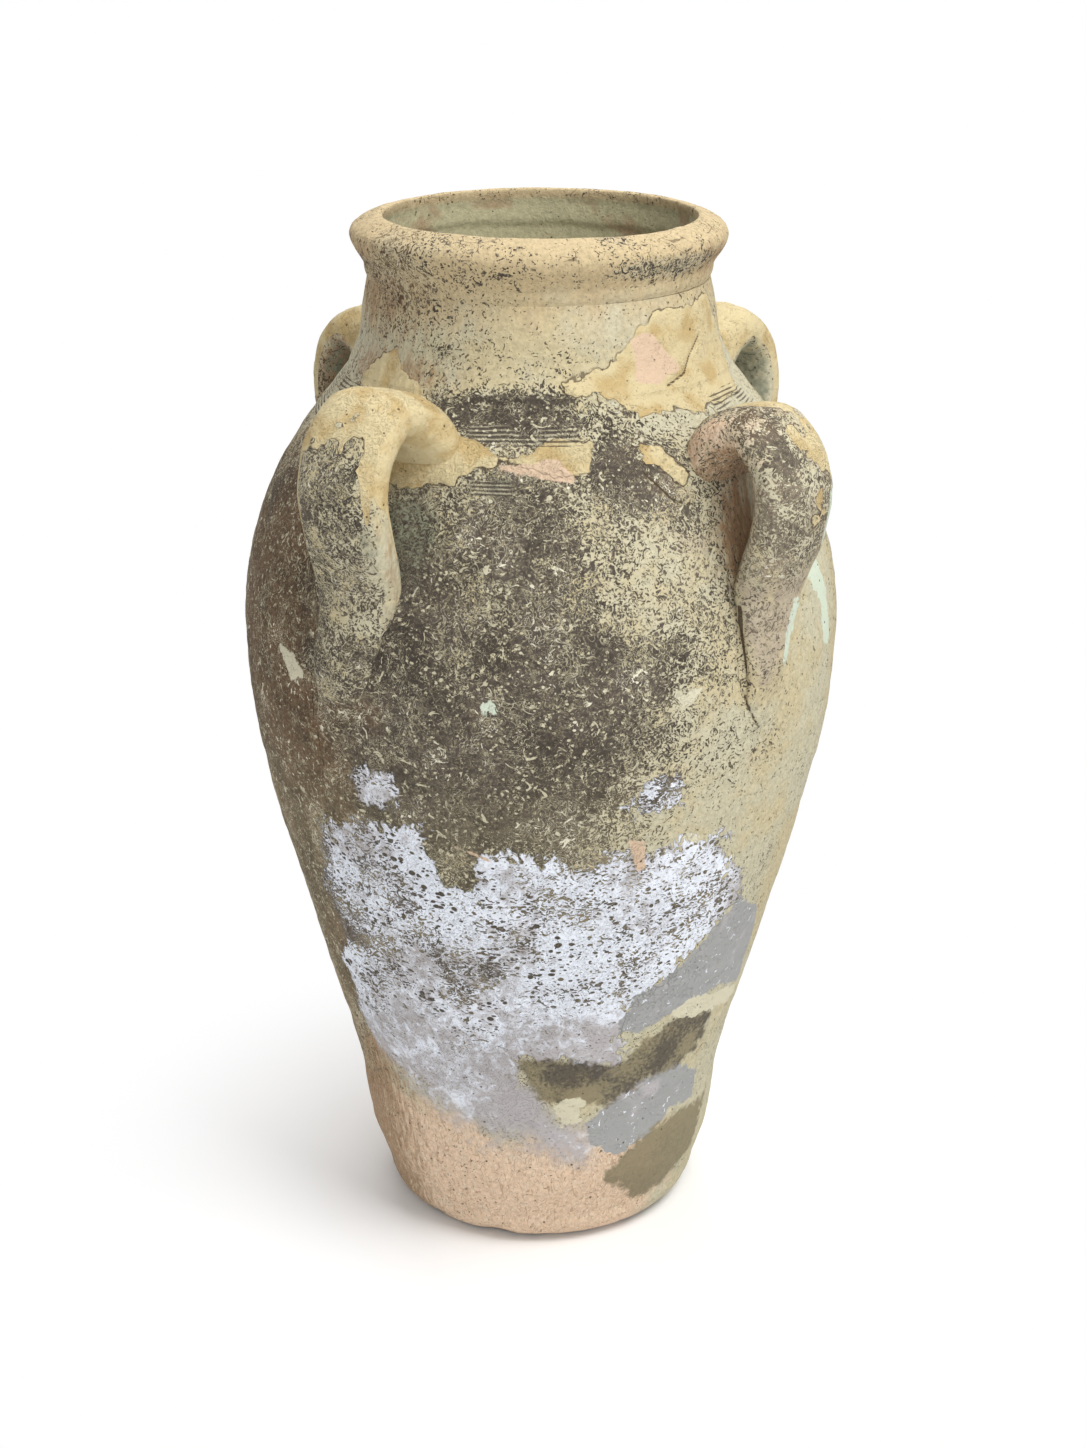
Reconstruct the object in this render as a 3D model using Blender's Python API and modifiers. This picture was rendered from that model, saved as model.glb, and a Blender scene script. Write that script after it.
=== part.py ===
"""Four-handled storage jar of fired clay, in metres, +Z up.

The jar is built the way a potter builds one of this size: a floor disc, thrown wall sections that are
stepped at their edges and luted on top of each other, a rim band, and four pulled strap handles whose
ends are pressed onto the shoulder and the belly. The origin is the centre of the foot.
"""

import math

import bmesh
import bpy
import numpy as np

# Heights of the outline: the first from the ground, each other one from the height before it
BELLY_HEIGHT = 0.366
SHOULDER_RISE = 0.148
NECK_LENGTH = 0.046
RIM_HEIGHT = 0.034

# Outer radii of the outline, and the radius of the mouth
FOOT_FLAT_RADIUS = 0.074
FOOT_RADIUS = 0.094
BELLY_RADIUS = 0.1685
NECK_BASE_RADIUS = 0.1045
NECK_RADIUS = 0.0935
RIM_RADIUS = 0.1025
MOUTH_RADIUS = 0.0850

# Thickness of the clay, and height of the rounded edge of the foot
WALL_THICKNESS = 0.013
NECK_THICKNESS = 0.010
FOOT_EDGE_HEIGHT = 0.020

# Luted joints between the sections: where they lie, the step that keys them, and the gap left in them
LOWER_WALL_LENGTH = 0.160
SHOULDER_JOINT_DROP = 0.037
JOINT_STEP = 0.005
JOINT_GAP = 0.0003

# Strap handles: reach beyond the belly, crest below the neck's base, tail below the belly's widest ring,
# and the clay's size at strap, root and tail
HANDLE_PROUD = 0.030
HANDLE_CREST_DROP = 0.011
HANDLE_TAIL_DROP = 0.024
STRAP_WIDTH = 0.050
STRAP_THICKNESS = 0.025
ROOT_WIDTH = 0.070
ROOT_THICKNESS = 0.036
TAIL_WIDTH = 0.026
TAIL_THICKNESS = 0.010

# Direction of each handle round the axis from +X, and how far its tail drifts round, in degrees
HANDLE_ANGLES = {
    "handle_right": (0.0, -3.0),
    "handle_back": (90.0, 2.0),
    "handle_left": (174.0, -2.0),
    "handle_front": (-79.0, -7.0),
}
# The handles were pulled by eye: share that each takes of the reach, of the crest's drop,
# of the root's flare and of the tail's width
HANDLE_SHARES = {
    "handle_right": (0.82, 1.25, 0.35, 0.50),
    "handle_back": (0.74, 0.50, 0.45, 0.60),
    "handle_left": (0.84, 0.70, 0.45, 0.60),
    "handle_front": (0.85, 0.10, 1.00, 1.00),
}

# Outline of the wall: shares of the way up each stretch, and of the way from its first radius to its last
LOWER_WALL_SHARES = (
    (0.06, 0.098),
    (0.11, 0.155),
    (0.18, 0.19),
    (0.265, 0.275),
    (0.37, 0.405),
    (0.49, 0.555),
    (0.625, 0.735),
    (0.765, 0.878),
    (0.90, 0.976),
)
SHOULDER_SHARES = (
    (0.245, 0.065),
    (0.465, 0.215),
    (0.63, 0.39),
    (0.73, 0.54),
    (0.815, 0.67),
    (0.90, 0.83),
)
NECK_SHARES = ((0.36, 0.555), (0.70, 0.77))

# Rim band: shares of its height, and of the way from the neck's radius to the rim's
RIM_SIDE_SHARES = ((0.03, 0.06), (0.22, 0.16), (0.36, 0.42), (0.48, 0.68), (0.60, 0.90), (0.72, 1.0))
# Rim lip: shares of the rim's height, and of the way from the rim's radius to the mouth's
RIM_LIP_SHARES = ((0.80, 0.09), (0.88, 0.42), (0.95, 0.74), (1.0, 0.90), (0.985, 0.98), (0.93, 1.0))

# Centre line of a strap from its upper root to its tail: shares of the height from tail to crest,
# shares of the way from the wall's surface to the strap's widest reach, and the width and thickness there
# as shares of the way from strap to root size (positive) or from strap to tail size (negative)
STRAP_SHARES = (
    (0.800, -0.35, 1.00),
    (0.875, 0.00, 0.80),
    (0.945, 0.30, 0.40),
    (0.985, 0.52, 0.10),
    (1.000, 0.68, 0.00),
    (0.970, 0.81, 0.00),
    (0.895, 0.95, 0.00),
    (0.790, 1.02, 0.00),
    (0.670, 0.92, 0.00),
    (0.560, 0.63, -0.05),
    (0.460, 0.26, -0.17),
    (0.350, 0.08, -0.38),
    (0.220, 0.03, -0.62),
    (0.100, 0.00, -0.83),
    (0.000, -0.02, -1.00),
)
STRAP_SQUARENESS = 2.4

# Counts of facets
TURN_STEPS = 60
FOOT_EDGE_STEPS = 5
WALL_ROWS = 5
NECK_ROWS = 3
STRAP_SIDES = 18
STRAP_RINGS = 26

# Colours of the fired clay as linear red, green and blue
COLOURS = {
    "base_disc": (0.50, 0.30, 0.19),
    "lower_wall": (0.52, 0.44, 0.38),
    "belly_wall": (0.20, 0.17, 0.12),
    "shoulder_wall": (0.23, 0.20, 0.14),
    "neck": (0.50, 0.45, 0.30),
    "rim_band": (0.46, 0.38, 0.24),
    "handle_right": (0.42, 0.33, 0.22),
    "handle_back": (0.52, 0.45, 0.28),
    "handle_left": (0.40, 0.31, 0.16),
    "handle_front": (0.38, 0.31, 0.19),
}
CLAY_ROUGHNESS = 0.9

# Heights that follow from the sizes above
NECK_BASE_HEIGHT = BELLY_HEIGHT + SHOULDER_RISE
NECK_TOP_HEIGHT = NECK_BASE_HEIGHT + NECK_LENGTH
LOWER_JOINT_HEIGHT = FOOT_EDGE_HEIGHT + LOWER_WALL_LENGTH
SHOULDER_JOINT_HEIGHT = BELLY_HEIGHT - SHOULDER_JOINT_DROP


def clear_scene():
    """Remove every object of the scene that the script starts in."""
    for obj in list(bpy.data.objects):
        bpy.data.objects.remove(obj, do_unlink=True)


def new_collection(name):
    """Add an empty collection to the scene."""
    collection = bpy.data.collections.new(name)
    bpy.context.scene.collection.children.link(collection)
    return collection


def clay_material(name):
    """Matt fired clay in the colour of one piece."""
    material = bpy.data.materials.new(name + "_clay")
    material.use_nodes = True
    shader = material.node_tree.nodes["Principled BSDF"]
    shader.inputs["Base Color"].default_value = (*COLOURS[name], 1.0)
    shader.inputs["Roughness"].default_value = CLAY_ROUGHNESS
    shader.inputs["Metallic"].default_value = 0.0
    return material


def mix(start, end, share):
    """Value at a share of the way from start to end."""
    return start + (end - start) * share


def smooth_curve(knots, values, at):
    """Cubic curve through the points, whose tangents are chosen so that it never overshoots them."""
    knots = np.asarray(knots, float)
    values = np.asarray(values, float)
    spans = np.diff(knots)
    slopes = np.diff(values) / spans
    before, after = slopes[:-1], slopes[1:]
    same_way = before * after > 0
    total = np.where(same_way, before + after, 1)
    tangents = np.concatenate([slopes[:1], np.where(same_way, 2 * before * after / total, 0), slopes[-1:]])
    at = np.clip(at, knots[0], knots[-1])
    left = np.clip(np.searchsorted(knots, at, side="right") - 1, 0, len(spans) - 1)
    span = spans[left]
    u = (at - knots[left]) / span
    rise = values[left + 1] - values[left]
    bend_in = (u**3 - 2 * u**2 + u) * span * tangents[left]
    bend_out = (u**3 - u**2) * span * tangents[left + 1]
    return values[left] + rise * (3 * u**2 - 2 * u**3) + bend_in + bend_out


def wall_stations():
    """Heights and outer radii that the wall's outline passes through, from foot edge to neck top."""
    stretches = (
        (FOOT_EDGE_HEIGHT, FOOT_RADIUS, BELLY_HEIGHT, BELLY_RADIUS, LOWER_WALL_SHARES),
        (BELLY_HEIGHT, BELLY_RADIUS, NECK_BASE_HEIGHT, NECK_BASE_RADIUS, SHOULDER_SHARES),
        (NECK_BASE_HEIGHT, NECK_BASE_RADIUS, NECK_TOP_HEIGHT, NECK_RADIUS, NECK_SHARES),
    )
    stations = []
    for low, first, high, last, shares in stretches:
        stations.append((low, first))
        stations += [(mix(low, high, up), mix(first, last, way)) for up, way in shares]
    stations.append((NECK_TOP_HEIGHT, NECK_RADIUS))
    return np.array(stations)


STATIONS = wall_stations()


def outer_radius(height):
    """Outer radius of the wall at a height between the foot's edge and the neck's top."""
    return smooth_curve(STATIONS[:, 0], STATIONS[:, 1], height)


def wall_thickness(height):
    """Thickness of the clay, which thins from the shoulder to the neck."""
    return float(np.interp(height, (BELLY_HEIGHT, NECK_BASE_HEIGHT), (WALL_THICKNESS, NECK_THICKNESS)))


def wall_point(height, depth):
    """Point of the wall's section, as (radius, height), at a depth square to the outer surface."""
    below = max(height - JOINT_STEP, FOOT_EDGE_HEIGHT)
    above = min(height + JOINT_STEP, NECK_TOP_HEIGHT)
    run = float(outer_radius(above) - outer_radius(below))
    length = math.hypot(run, above - below)
    out, up = (above - below) / length, -run / length
    return float(outer_radius(height)) - depth * out, height - depth * up


def section_heights(low, high):
    """Heights of a section's outline points, its two edges among them."""
    rows = NECK_ROWS if high == NECK_TOP_HEIGHT else WALL_ROWS
    return np.linspace(low, high, rows + 2)


def joint_edge(height, lower_side):
    """Stepped edge of a section at a luted joint, from the outside in, for the piece below or above it."""
    half = wall_thickness(height) / 2
    if lower_side:
        base, middle = height, half + JOINT_GAP / 2
    else:
        base, middle = height + JOINT_GAP, half - JOINT_GAP / 2
    step = [wall_point(base, middle), wall_point(base + JOINT_STEP, middle)]
    return [wall_point(base, 0), *step, wall_point(base + JOINT_STEP, wall_thickness(height))]


def wall_section_outline(low, high):
    """Outline of a wall section between two joints: down its outer side, then up its inner side."""
    top = joint_edge(high, lower_side=True)
    bottom = joint_edge(low, lower_side=False)
    heights = section_heights(low, high)[1:-1]
    outer = [wall_point(height, 0) for height in heights[::-1]]
    inner = [wall_point(height, wall_thickness(height)) for height in heights + JOINT_STEP]
    return top[:1] + outer + bottom + inner + top[:0:-1]


def floor_outline():
    """Outline of the floor disc from the axis on top, round the foot's edge, to the axis underneath."""
    edge = joint_edge(FOOT_EDGE_HEIGHT, lower_side=True)
    floor_top = edge[2][1]
    turns = np.linspace(0, math.pi / 2, FOOT_EDGE_STEPS + 1)[1:]
    foot_round = [
        (mix(FOOT_FLAT_RADIUS, FOOT_RADIUS, math.cos(turn)), FOOT_EDGE_HEIGHT * (1 - math.sin(turn)))
        for turn in turns
    ]
    return [(0, floor_top), edge[2], edge[1], edge[0], *foot_round, (0, 0)]


def rim_outline():
    """Outline of the rim band: down its outer side from the lip to the neck, then up inside the mouth."""
    side = [
        (mix(NECK_RADIUS, RIM_RADIUS, way), mix(NECK_TOP_HEIGHT, NECK_TOP_HEIGHT + RIM_HEIGHT, up))
        for up, way in RIM_SIDE_SHARES
    ]
    lip = [
        (mix(RIM_RADIUS, MOUTH_RADIUS, way), mix(NECK_TOP_HEIGHT, NECK_TOP_HEIGHT + RIM_HEIGHT, up))
        for up, way in RIM_LIP_SHARES
    ]
    return lip[::-1] + side[::-1] + flat_joint_edge(lower_side=False)


def flat_joint_edge(lower_side):
    """Stepped edge of the joint under the rim band, from the outside in."""
    middle = NECK_RADIUS - NECK_THICKNESS / 2
    inner = NECK_RADIUS - NECK_THICKNESS
    base = NECK_TOP_HEIGHT if lower_side else NECK_TOP_HEIGHT + JOINT_GAP
    middle += -JOINT_GAP / 2 if lower_side else JOINT_GAP / 2
    return [(NECK_RADIUS, base), (middle, base), (middle, base + JOINT_STEP), (inner, base + JOINT_STEP)]


def neck_outline():
    """Outline of the neck: down its outer side to the shoulder's joint, then up inside."""
    bottom = joint_edge(NECK_BASE_HEIGHT, lower_side=False)
    top = flat_joint_edge(lower_side=True)
    heights = section_heights(NECK_BASE_HEIGHT, NECK_TOP_HEIGHT)[1:-1]
    outer = [wall_point(height, 0) for height in heights[::-1]]
    inner = [wall_point(height, NECK_THICKNESS) for height in heights[2:]]
    return top[:1] + outer + bottom + inner + top[:0:-1]


def turned(name, outline, collection, closed):
    """Turn an outline, given as (radius, height) points, round the axis with a Screw modifier."""
    mesh = bpy.data.meshes.new(name)
    count = len(outline)
    edges = [(i, (i + 1) % count) for i in range(count if closed else count - 1)]
    mesh.from_pydata([(radius, 0, height) for radius, height in outline], edges, [])
    obj = bpy.data.objects.new(name, mesh)
    collection.objects.link(obj)
    screw = obj.modifiers.new("turn", "SCREW")
    screw.axis = "Z"
    screw.angle = 2 * math.pi
    screw.steps = TURN_STEPS
    screw.render_steps = TURN_STEPS
    screw.use_smooth_shade = True
    if not closed:
        screw.use_merge_vertices = True
        screw.merge_threshold = JOINT_GAP / 10
    return obj


def wall_envelope(collection):
    """Solid that fills the jar's outline from foot to neck top with the joint gap added, to cut handles."""
    heights = []
    joints = (FOOT_EDGE_HEIGHT, LOWER_JOINT_HEIGHT, SHOULDER_JOINT_HEIGHT, NECK_BASE_HEIGHT, NECK_TOP_HEIGHT)
    for low, high in zip(joints[:-1], joints[1:]):
        heights += list(section_heights(low, high)[:-1])
    heights.append(NECK_TOP_HEIGHT)
    side = [wall_point(height, -JOINT_GAP) for height in heights[::-1]]
    outline = [(0, NECK_TOP_HEIGHT), *side, (0, FOOT_EDGE_HEIGHT)]
    cutter = turned("wall_envelope", outline, collection, closed=False)
    cutter.hide_render = True
    cutter.display_type = "WIRE"
    return cutter


def strap_path(name):
    """Radii, heights, widths and thicknesses along one strap's centre line, and its tail shares, root first."""
    reach_share, drop_share, flare_share, tail_share = HANDLE_SHARES[name]
    shares = np.array(STRAP_SHARES)
    tail = BELLY_HEIGHT - HANDLE_TAIL_DROP
    crest = NECK_BASE_HEIGHT - HANDLE_CREST_DROP * drop_share
    heights = mix(tail, crest, shares[:, 0])
    reach = BELLY_RADIUS + HANDLE_PROUD * reach_share - STRAP_THICKNESS / 2
    radii = mix(outer_radius(heights), reach, shares[:, 1])
    to_root = np.maximum(shares[:, 2], 0)
    to_tail = np.maximum(-shares[:, 2], 0)
    root_width = mix(STRAP_WIDTH, ROOT_WIDTH, flare_share)
    tail_width = TAIL_WIDTH * tail_share
    widths = STRAP_WIDTH + (root_width - STRAP_WIDTH) * to_root + (tail_width - STRAP_WIDTH) * to_tail
    thicknesses = STRAP_THICKNESS + (ROOT_THICKNESS - STRAP_THICKNESS) * to_root
    thicknesses += (TAIL_THICKNESS - STRAP_THICKNESS) * to_tail
    run = np.concatenate([[0], np.cumsum(np.hypot(np.diff(radii), np.diff(heights)))])
    along = np.linspace(0, run[-1], STRAP_RINGS)
    return [smooth_curve(run, values, along) for values in (radii, heights, widths, thicknesses, to_tail)]


def strap_rings(name):
    """Rings of points round a strap: rounded flat sections, square to its centre line in the radial plane."""
    angle, drift = HANDLE_ANGLES[name]
    radii, heights, widths, thicknesses, tail_shares = strap_path(name)
    slope_out, slope_up = np.gradient(radii), np.gradient(heights)
    length = np.hypot(slope_out, slope_up)
    turns = np.linspace(0, 2 * math.pi, STRAP_SIDES, endpoint=False)
    across = np.sign(np.cos(turns)) * np.abs(np.cos(turns)) ** (2 / STRAP_SQUARENESS)
    through = np.sign(np.sin(turns)) * np.abs(np.sin(turns)) ** (2 / STRAP_SQUARENESS)
    side = across * widths[:, None] / 2
    lift = through * thicknesses[:, None] / 2
    out = radii[:, None] - lift * (slope_up / length)[:, None]
    up = heights[:, None] + lift * (slope_out / length)[:, None]
    facing = np.radians(angle + drift * tail_shares)[:, None]
    x = out * np.cos(facing) - side * np.sin(facing)
    y = out * np.sin(facing) + side * np.cos(facing)
    return np.stack([x, y, up], axis=-1)


def strap_handle(name, collection, cutter):
    """Loft one strap through its rings, close both ends, and cut its roots back to the wall."""
    builder = bmesh.new()
    rings = [[builder.verts.new(point) for point in ring] for ring in strap_rings(name)]
    for ring, following in zip(rings[:-1], rings[1:]):
        for i in range(STRAP_SIDES):
            j = (i + 1) % STRAP_SIDES
            builder.faces.new((ring[i], ring[j], following[j], following[i]))
    builder.faces.new(rings[0])
    builder.faces.new(rings[-1])
    bmesh.ops.recalc_face_normals(builder, faces=builder.faces)
    mesh = bpy.data.meshes.new(name)
    builder.to_mesh(mesh)
    builder.free()
    mesh.shade_smooth()
    obj = bpy.data.objects.new(name, mesh)
    collection.objects.link(obj)
    cut = obj.modifiers.new("cut_to_wall", "BOOLEAN")
    cut.operation = "DIFFERENCE"
    cut.solver = "EXACT"
    cut.object = cutter
    return obj


def build_jar():
    """Model every piece of the jar, each as its own object with its own clay."""
    clear_scene()
    parts = new_collection("four_handled_jar")
    cutters = new_collection("cutters")
    cutters.hide_render = True
    pieces = [
        turned("base_disc", floor_outline(), parts, closed=False),
        turned("lower_wall", wall_section_outline(FOOT_EDGE_HEIGHT, LOWER_JOINT_HEIGHT), parts, closed=True),
        turned("belly_wall", wall_section_outline(LOWER_JOINT_HEIGHT, SHOULDER_JOINT_HEIGHT), parts, closed=True),
        turned("shoulder_wall", wall_section_outline(SHOULDER_JOINT_HEIGHT, NECK_BASE_HEIGHT), parts, closed=True),
        turned("neck", neck_outline(), parts, closed=True),
        turned("rim_band", rim_outline(), parts, closed=True),
    ]
    cutter = wall_envelope(cutters)
    pieces += [strap_handle(name, parts, cutter) for name in HANDLE_ANGLES]
    for piece in pieces:
        piece.data.materials.append(clay_material(piece.name))


build_jar()
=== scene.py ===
"""Looks of a weathered four-handled storage jar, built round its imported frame.

The file is laid out as an add-on and is run as a script. Every visible piece is a surface worked out with
numpy: the turned pieces carry an outline round the axis, the handles carry a flat section along a path, and
both are then moved along their normals by the relief of hand-worked, weathered clay. Azimuths are degrees
to the right of the jar's front, heights are metres above the floor, and the front faces -46 degrees from +X.
"""

import math

import bpy
import numpy as np
from bpy.props import FloatProperty, FloatVectorProperty, PointerProperty
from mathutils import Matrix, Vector


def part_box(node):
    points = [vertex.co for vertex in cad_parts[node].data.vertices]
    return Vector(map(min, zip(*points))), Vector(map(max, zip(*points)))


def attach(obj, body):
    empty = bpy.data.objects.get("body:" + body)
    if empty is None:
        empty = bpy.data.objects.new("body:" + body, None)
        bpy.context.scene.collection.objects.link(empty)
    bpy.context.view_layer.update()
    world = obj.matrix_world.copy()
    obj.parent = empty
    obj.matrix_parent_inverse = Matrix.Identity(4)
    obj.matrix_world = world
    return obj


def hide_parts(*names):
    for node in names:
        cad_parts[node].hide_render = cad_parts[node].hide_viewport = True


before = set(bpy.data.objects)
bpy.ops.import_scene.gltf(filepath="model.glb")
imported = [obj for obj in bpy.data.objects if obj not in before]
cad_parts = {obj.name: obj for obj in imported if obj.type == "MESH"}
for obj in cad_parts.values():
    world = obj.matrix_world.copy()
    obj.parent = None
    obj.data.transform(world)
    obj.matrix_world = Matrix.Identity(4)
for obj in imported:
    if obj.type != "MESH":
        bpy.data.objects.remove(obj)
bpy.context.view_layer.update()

bl_info = {
    "name": "Four-Handled Storage Jar",
    "version": (1, 0, 0),
    "blender": (4, 5, 0),
    "location": "View3D > Sidebar > Jar",
    "description": "Builds a weathered earthenware jar with four strap handles round a packed frame",
    "category": "Add Mesh",
}

MM = 0.001
FRONT = math.radians(-46)

# Counts of the grids: columns round the jar, rows of each outer and inner face, and the same for a strap
TURN_COLUMNS = 640
ROWS = {"lower_wall": 112, "belly_wall": 108, "shoulder_wall": 128, "neck": 46, "rim_band": 104}
INNER_ROWS = {"lower_wall": 18, "belly_wall": 16, "shoulder_wall": 22, "neck": 34}
STRAP_COLUMNS = 128
STRAP_ROWS = 320

# The wall's swelling round a strap is measured from every so many of the strap's rows
STRAP_STRIDE = 4

# Outline of the wall: shares of the way up each stretch, and of the way from its first radius to its last
LOWER_WALL_SHARES = (
    (0.06, 0.098), (0.11, 0.155), (0.18, 0.19), (0.265, 0.275), (0.37, 0.405),
    (0.49, 0.555), (0.625, 0.735), (0.765, 0.878), (0.90, 0.976),
)
SHOULDER_SHARES = ((0.245, 0.065), (0.465, 0.215), (0.63, 0.39), (0.73, 0.54), (0.815, 0.67), (0.90, 0.83))
NECK_SHARES = ((0.36, 0.555), (0.70, 0.77))

# Rim: shares of its height, and of the way from the neck's radius to the rim's, then to the mouth's
RIM_SIDE_SHARES = (
    (0.0, 0.0), (0.10, 0.12), (0.22, 0.16), (0.36, 0.40), (0.48, 0.68), (0.60, 0.90), (0.70, 0.99),
)
RIM_LIP_SHARES = ((0.80, 0.07), (0.885, 0.28), (0.955, 0.56), (1.0, 0.84), (0.985, 0.965), (0.90, 1.0))
RIM_INSIDE_SHARES = ((0.70, 1.03), (0.45, 1.06), (0.20, 1.08), (0.0, 1.09))

# Strap centre line from root to tail: shares of the height from tail to crest, of the reach out from the
# wall, and of the way from strap size to root size (positive) or to tail size (negative)
STRAP_SHARES = (
    (0.800, -0.35, 1.00),
    (0.875, 0.00, 0.80),
    (0.945, 0.30, 0.40),
    (0.985, 0.52, 0.10),
    (1.000, 0.68, 0.00),
    (0.970, 0.81, 0.00),
    (0.895, 0.95, 0.00),
    (0.790, 1.02, 0.00),
    (0.670, 0.92, 0.00),
    (0.560, 0.63, -0.05),
    (0.460, 0.26, -0.17),
    (0.350, 0.08, -0.38),
    (0.220, 0.03, -0.62),
    (0.100, 0.00, -0.83),
    (0.000, -0.02, -1.00),
)
STRAP_SQUARENESS = 2.4

# How far a strap's tail sinks in, and how deep its ends stay pressed into the wall
TAIL_SINK = 5 * MM
PRESS_DEPTH = 5 * MM

# Direction of each handle from +X and the drift of its tail, in degrees, and its shares of the reach,
# of the crest's drop, of the root's flare and of the tail's width
HANDLES = {
    "handle_right": ((0.0, -3.0), (0.82, 1.25, 0.35, 0.50)),
    "handle_back": ((90.0, 2.0), (0.74, 0.50, 0.45, 0.60)),
    "handle_left": ((174.0, -2.0), (0.84, 0.70, 0.45, 0.60)),
    "handle_front": ((-79.0, -7.0), (0.85, 0.10, 1.00, 1.00)),
}

# Deposits on the wall, as outlines of (azimuth, height in millimetres)
LIME_PATCHES = (
    ((-50, 289), (-46, 277), (-37, 294), (-32, 289), (-24, 298), (-22, 280), (-18, 262), (-14, 260),
     (-11, 281), (-6, 290), (-2, 278), (9, 277), (18, 282), (32, 284), (39, 287), (39, 269), (48, 250),
     (49, 231), (39, 210), (33, 188), (25, 189), (20, 169), (22, 133), (8, 140), (-6, 143), (-4, 126),
     (2, 102), (16, 77), (14, 68), (-4, 81), (-21, 87), (-40, 109), (-53, 122), (-55, 146), (-56, 176),
     (-53, 222), (-52, 261)),
    ((-37, 314), (-33, 324), (-29, 323), (-27, 315), (-31, 305), (-36, 303)),
    ((16, 317), (20, 323), (25, 322), (27, 313), (24, 311), (19, 309)),
    ((138, 240), (147, 262), (154, 250), (163, 276), (171, 262), (180, 271), (188, 250), (199, 257),
     (211, 236), (206, 212), (212, 196), (197, 188), (193, 168), (182, 176), (174, 158), (163, 174),
     (156, 166), (149, 190), (141, 198), (143, 220)),
)
CEMENT_PATCHES = (
    ((20, 158), (23, 181), (30, 188), (39, 208), (49, 231), (62, 209), (66, 187), (66, 156), (49, 167),
     (39, 165), (27, 154)),
    ((14, 93), (22, 109), (32, 119), (41, 123), (54, 106), (56, 85), (43, 86), (36, 72), (24, 64), (16, 77)),
)
OLIVE_PATCHES = (
    ((-6, 141), (7, 143), (21, 132), (28, 146), (36, 158), (52, 149), (52, 130), (44, 119), (30, 117),
     (20, 103), (10, 110), (2, 108), (-4, 126)),
    ((21, 52), (31, 74), (47, 80), (67, 76), (62, 40), (44, 24), (34, 26), (25, 42)),
)
SLIP_PATCHES = (
    ((-31, 503), (-23, 499), (-17, 493), (-5, 490), (5, 496), (12, 494), (12, 478), (5, 484), (-9, 485),
     (-16, 482), (-24, 472), (-33, 470), (-42, 480)),
    ((24, 496), (30, 491), (33, 474), (32, 470), (27, 483), (24, 488)),
    ((-66, 511), (-59, 525), (-51, 531), (-44, 523), (-37, 519), (-33, 509), (-41, 503), (-54, 501)),
    ((6, 515), (17, 513), (28, 505), (41, 503), (58, 500), (74, 506), (80, 530), (72, 556), (38, 552),
     (32, 545), (22, 528), (6, 523)),
    ((118, 505), (130, 512), (150, 506), (160, 490), (140, 478), (120, 484)),
    ((-140, 508), (-118, 512), (-102, 500), (-112, 482), (-136, 486)),
)
PINK_PATCHES = (
    ((-10, 486), (4, 487), (8, 478), (4, 481), (-9, 482)),
    ((29, 541), (36, 544), (43, 531), (47, 523), (36, 518), (30, 521)),
    ((-17, 288), (-12, 284), (-9, 280), (-14, 284)),
    ((17, 290), (20, 288), (21, 271), (19, 270)),
)
MINT_PATCHES = (
    ((61, 424), (67, 421), (71, 398), (70, 368), (67, 370), (66, 394)),
    ((47, 404), (52, 410), (55, 398), (52, 380), (49, 366), (46, 374), (46.5, 390)),
    ((-9.7, 371.6), (-8.3, 371.6), (-8.3, 368.6), (-9.7, 369.2)),
)
CREAM_CHIPS = (
    ((3, 108), (7, 112), (13, 107), (12, 94), (6, 91)),
    ((24.5, 371.5), (29.5, 372.5), (28.5, 364.5), (25.5, 365.5)),
    ((-56, 377), (-51, 378), (-48, 366), (-53, 356)),
    ((29, 286), (33, 287), (32, 279)),
    ((25, 153), (40, 165), (68, 154), (66, 145), (51, 151), (36, 158)),
)

# Dark crust: middle (azimuth, height), half sizes and added cover, over an even scatter of specks
CRUST_SCATTER = 0.27
CRUST_BLOOMS = (
    (-10, 402, 40, 112, 0.56),
    (2, 335, 33, 62, 0.30),
    (-4, 418, 22, 34, 0.16),
    (-12, 462, 20, 26, 0.18),
    (17, 430, 9, 24, -0.10),
    (-26, 452, 8, 14, -0.14),
    (-50, 335, 28, 70, 0.46),
    (-78, 385, 40, 120, 0.60),
    (-62, 430, 20, 60, 0.30),
    (-22, 210, 50, 90, 0.60),
    (-72, 190, 24, 120, 0.42),
    (-8, 507, 30, 12, 0.66),
    (20, 484, 10, 22, 0.50),
    (34, 470, 10, 26, 0.40),
    (36, 400, 10, 40, 0.16),
    (64, 380, 12, 50, -0.10),
    (68, 300, 14, 100, -0.10),
    (-56, 556, 26, 26, 0.32),
    (-44, 586, 20, 10, 0.22),
    (44, 577, 24, 7, 0.28),
    # Darker all round the rim band's lower slope, under the lip
    (0, 574, 200, 6, 0.12),
    (14, 548, 42, 26, -0.10),
    (0, 40, 200, 48, -0.22),
    (112, 380, 34, 90, 0.44),
    (178, 330, 42, 90, 0.54),
    (-122, 400, 34, 100, 0.50),
    (150, 492, 40, 20, 0.44),
)

# Brown stains, and brown painted shade on the wall inside each strap's loop: middle (azimuth, height), half
# sizes and strength
STAINS_AND_LOOP_SHADE = (
    (-62, 556, 26, 26, 0.75),
    (-52, 520, 22, 12, 0.90),
    # Painted shade inside the right front strap's loop
    (44, 436, 7, 46, 1.10),
    (-36, 476, 12, 8, 0.50),
    # Painted shade inside the left front strap's loop
    (-28, 425, 5, 40, 0.50),
    (-38, 386, 5, 14, 0.80),
    (66, 575, 26, 10, 0.60),
    (128, 572, 26, 16, 0.70),
    (-68, 573, 18, 14, 0.70),
    # Painted shade inside the two rear straps' loops
    (140, 440, 10, 40, 0.80),
    (-140, 440, 10, 40, 0.80),
)

# Fine lines cut or cracked into the wall, as (azimuth, height in millimetres)
CRACKS = (
    ((38.4, 425), (38.3, 372), (41.2, 352), (42.8, 342)),
    ((-44.4, 398), (-45.8, 352), (-44.5, 318)),
    ((60, 536), (52, 527), (48, 520), (40, 516)),
    ((24, 480), (29, 466), (34, 462)),
)

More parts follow.
